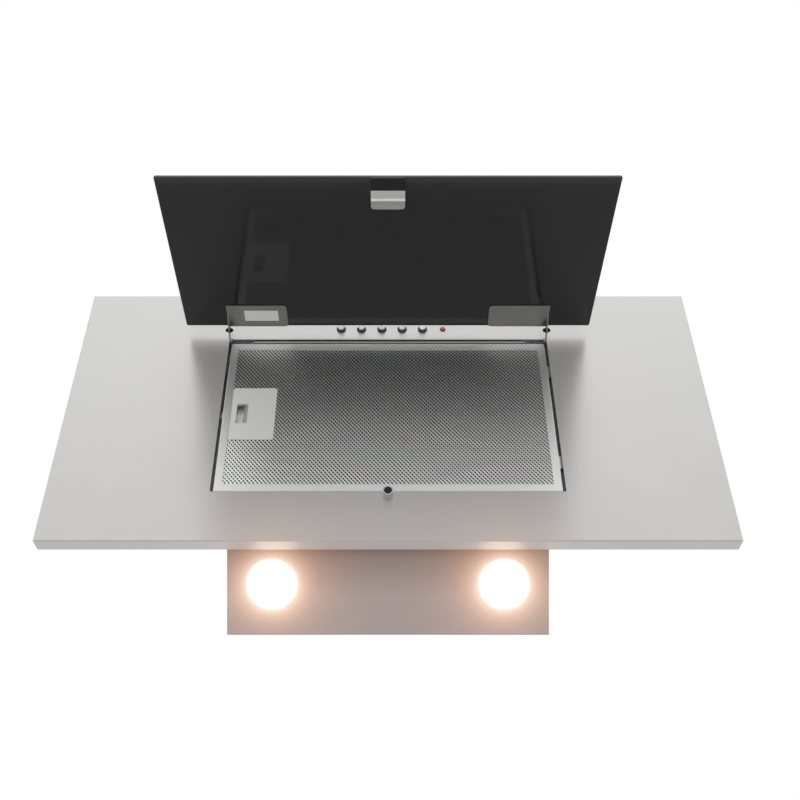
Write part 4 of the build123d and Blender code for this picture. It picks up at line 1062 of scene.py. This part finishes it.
class HOOD_OT_body_welds(bpy.types.Operator):
    """Makes the spot-weld marks along the rear and the upper edge of each side of the body"""

    bl_idname = "hood.body_welds"
    bl_label = "Body welds"

    def execute(self, context):
        sizes = context.scene.hood_fixings
        edge, pitch = sizes.weld_edge, sizes.weld_pitch
        top_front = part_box("top_plate")[0].y
        for side, sign in SIDES:
            low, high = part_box(f"side_panel_{side}")
            x = low.x if sign < 0 else high.x
            rear = [(x, high.y - edge, z) for z in steps(low.z + edge, high.z - edge, pitch)]
            upper = [(x, y, high.z - edge) for y in steps(top_front + edge, high.y - 2 * edge, pitch)]
            # The upper row stops short of the corner, where the rear row has its last mark
            places = [looking((sign, 0, 0), place) for place in rear + upper[:-1]]
            marks = joined_copies(weld_mark(sizes.weld_radius), places)
            finish_piece(marks, f"body_welds_{side}", FINISHES["zinc"], "hood")
        return {"FINISHED"}


class HOOD_OT_stage(bpy.types.Operator):
    """Sets the camera, the floor, the soft lamp and the pale surroundings"""

    bl_idname = "hood.stage"
    bl_label = "Stage"

    def execute(self, context):
        settings = context.scene.hood_stage
        context.scene.view_settings.view_transform = "Standard"
        self.place_camera(context, settings)
        self.lay_floor(context, settings)
        self.surround(context, settings)
        self.place_bank(context, settings)
        return {"FINISHED"}

    def place_camera(self, context, settings):
        """The camera, which looks straight up from under the hood."""
        deselect_all()
        eye = (0, -settings.eye_distance, settings.eye_height)
        bpy.ops.object.camera_add(location=eye, rotation=(math.pi, 0, 0))
        camera = context.object
        camera.name = "Hood camera"
        camera.data.lens = settings.focal_length
        camera.data.shift_x = settings.lens_shift
        context.scene.camera = camera

    def lay_floor(self, context, settings):
        """The pale floor under the hood."""
        deselect_all()
        under_hood = -0.3
        middle = (0, under_hood, -settings.floor_drop)
        bpy.ops.mesh.primitive_plane_add(size=settings.floor_width, location=middle)
        floor = context.object
        floor.name = "Studio floor"
        material, tree, shader, place = new_material("Studio floor")
        shade = remap(tree, noise(tree, place, scale=1.5, detail=2.0), low=0.92, high=0.95)
        tone = vector_maths(tree, "SCALE", (1, 1, 1), shade)
        set_inputs(tree, shader, {"Base Color": tone, "Roughness": 0.8})
        lay_out(tree, tree.nodes["Material Output"])
        floor.data.materials.append(material)

    def surround(self, context, settings):
        """White where the camera, a mirror or glass looks, and a softer grey as a light."""
        world = bpy.data.worlds.new("Pale studio")
        context.scene.world = world
        world.use_nodes = True
        tree = world.node_tree
        rays = tree.nodes.new("ShaderNodeLightPath").outputs
        seen = maths(tree, "MAXIMUM", rays["Is Camera Ray"], rays["Is Glossy Ray"])
        seen = maths(tree, "MAXIMUM", seen, rays["Is Transmission Ray"])
        strength = remap(tree, seen, low=settings.surround_light, high=1.0)
        set_inputs(tree, tree.nodes["Background"], {"Color": (1, 1, 1, 1), "Strength": strength})
        lay_out(tree, tree.nodes["World Output"])

    def place_bank(self, context, settings):
        """One wide soft lamp in front of the hood, which its brushed steel mirrors as a broad sheen."""
        deselect_all()
        bpy.ops.object.light_add(type="AREA", location=settings.bank_place)
        lamp = context.object
        lamp.name = "Soft bank"
        lamp.data.shape = "RECTANGLE"
        lamp.data.size = settings.bank_width
        lamp.data.size_y = settings.bank_height
        lamp.data.energy = settings.bank_power
        lamp.visible_camera = False
        aim = Vector(settings.bank_aim) - lamp.location
        lamp.rotation_euler = aim.to_track_quat("-Z", "Y").to_euler()


# ---------------------------------------------------------------- the panel in the sidebar

OPERATORS = (
    HOOD_OT_finishes,
    HOOD_OT_front_net,
    HOOD_OT_rear_net,
    HOOD_OT_filter_rail,
    HOOD_OT_latch_pad,
    HOOD_OT_bracket_bolts,
    HOOD_OT_cover_screws,
    HOOD_OT_body_welds,
    HOOD_OT_stage,
)

SETTINGS = {
    "hood_net": HoodNetSizes,
    "hood_fixings": HoodFixings,
    "hood_colours": HoodColours,
    "hood_stage": HoodStage,
}


class HOOD_PT_sidebar(bpy.types.Panel):
    bl_label = "Hood"
    bl_idname = "HOOD_PT_sidebar"
    bl_space_type = "VIEW_3D"
    bl_region_type = "UI"
    bl_category = "Hood"

    def draw(self, context):
        for name, group in SETTINGS.items():
            box = self.layout.box()
            for setting in group.__annotations__:
                box.prop(getattr(context.scene, name), setting)
        for operator in OPERATORS:
            self.layout.operator(operator.bl_idname)


CLASSES = tuple(SETTINGS.values()) + OPERATORS + (HOOD_PT_sidebar,)


def register():
    for item in CLASSES:
        bpy.utils.register_class(item)
    for name, group in SETTINGS.items():
        setattr(bpy.types.Scene, name, PointerProperty(type=group))


def unregister():
    for name in SETTINGS:
        delattr(bpy.types.Scene, name)
    for item in reversed(CLASSES):
        bpy.utils.unregister_class(item)


def main():
    register()
    for operator in OPERATORS:
        group, action = operator.bl_idname.split(".")
        getattr(getattr(bpy.ops, group), action)()


if __name__ == "__main__":
    main()
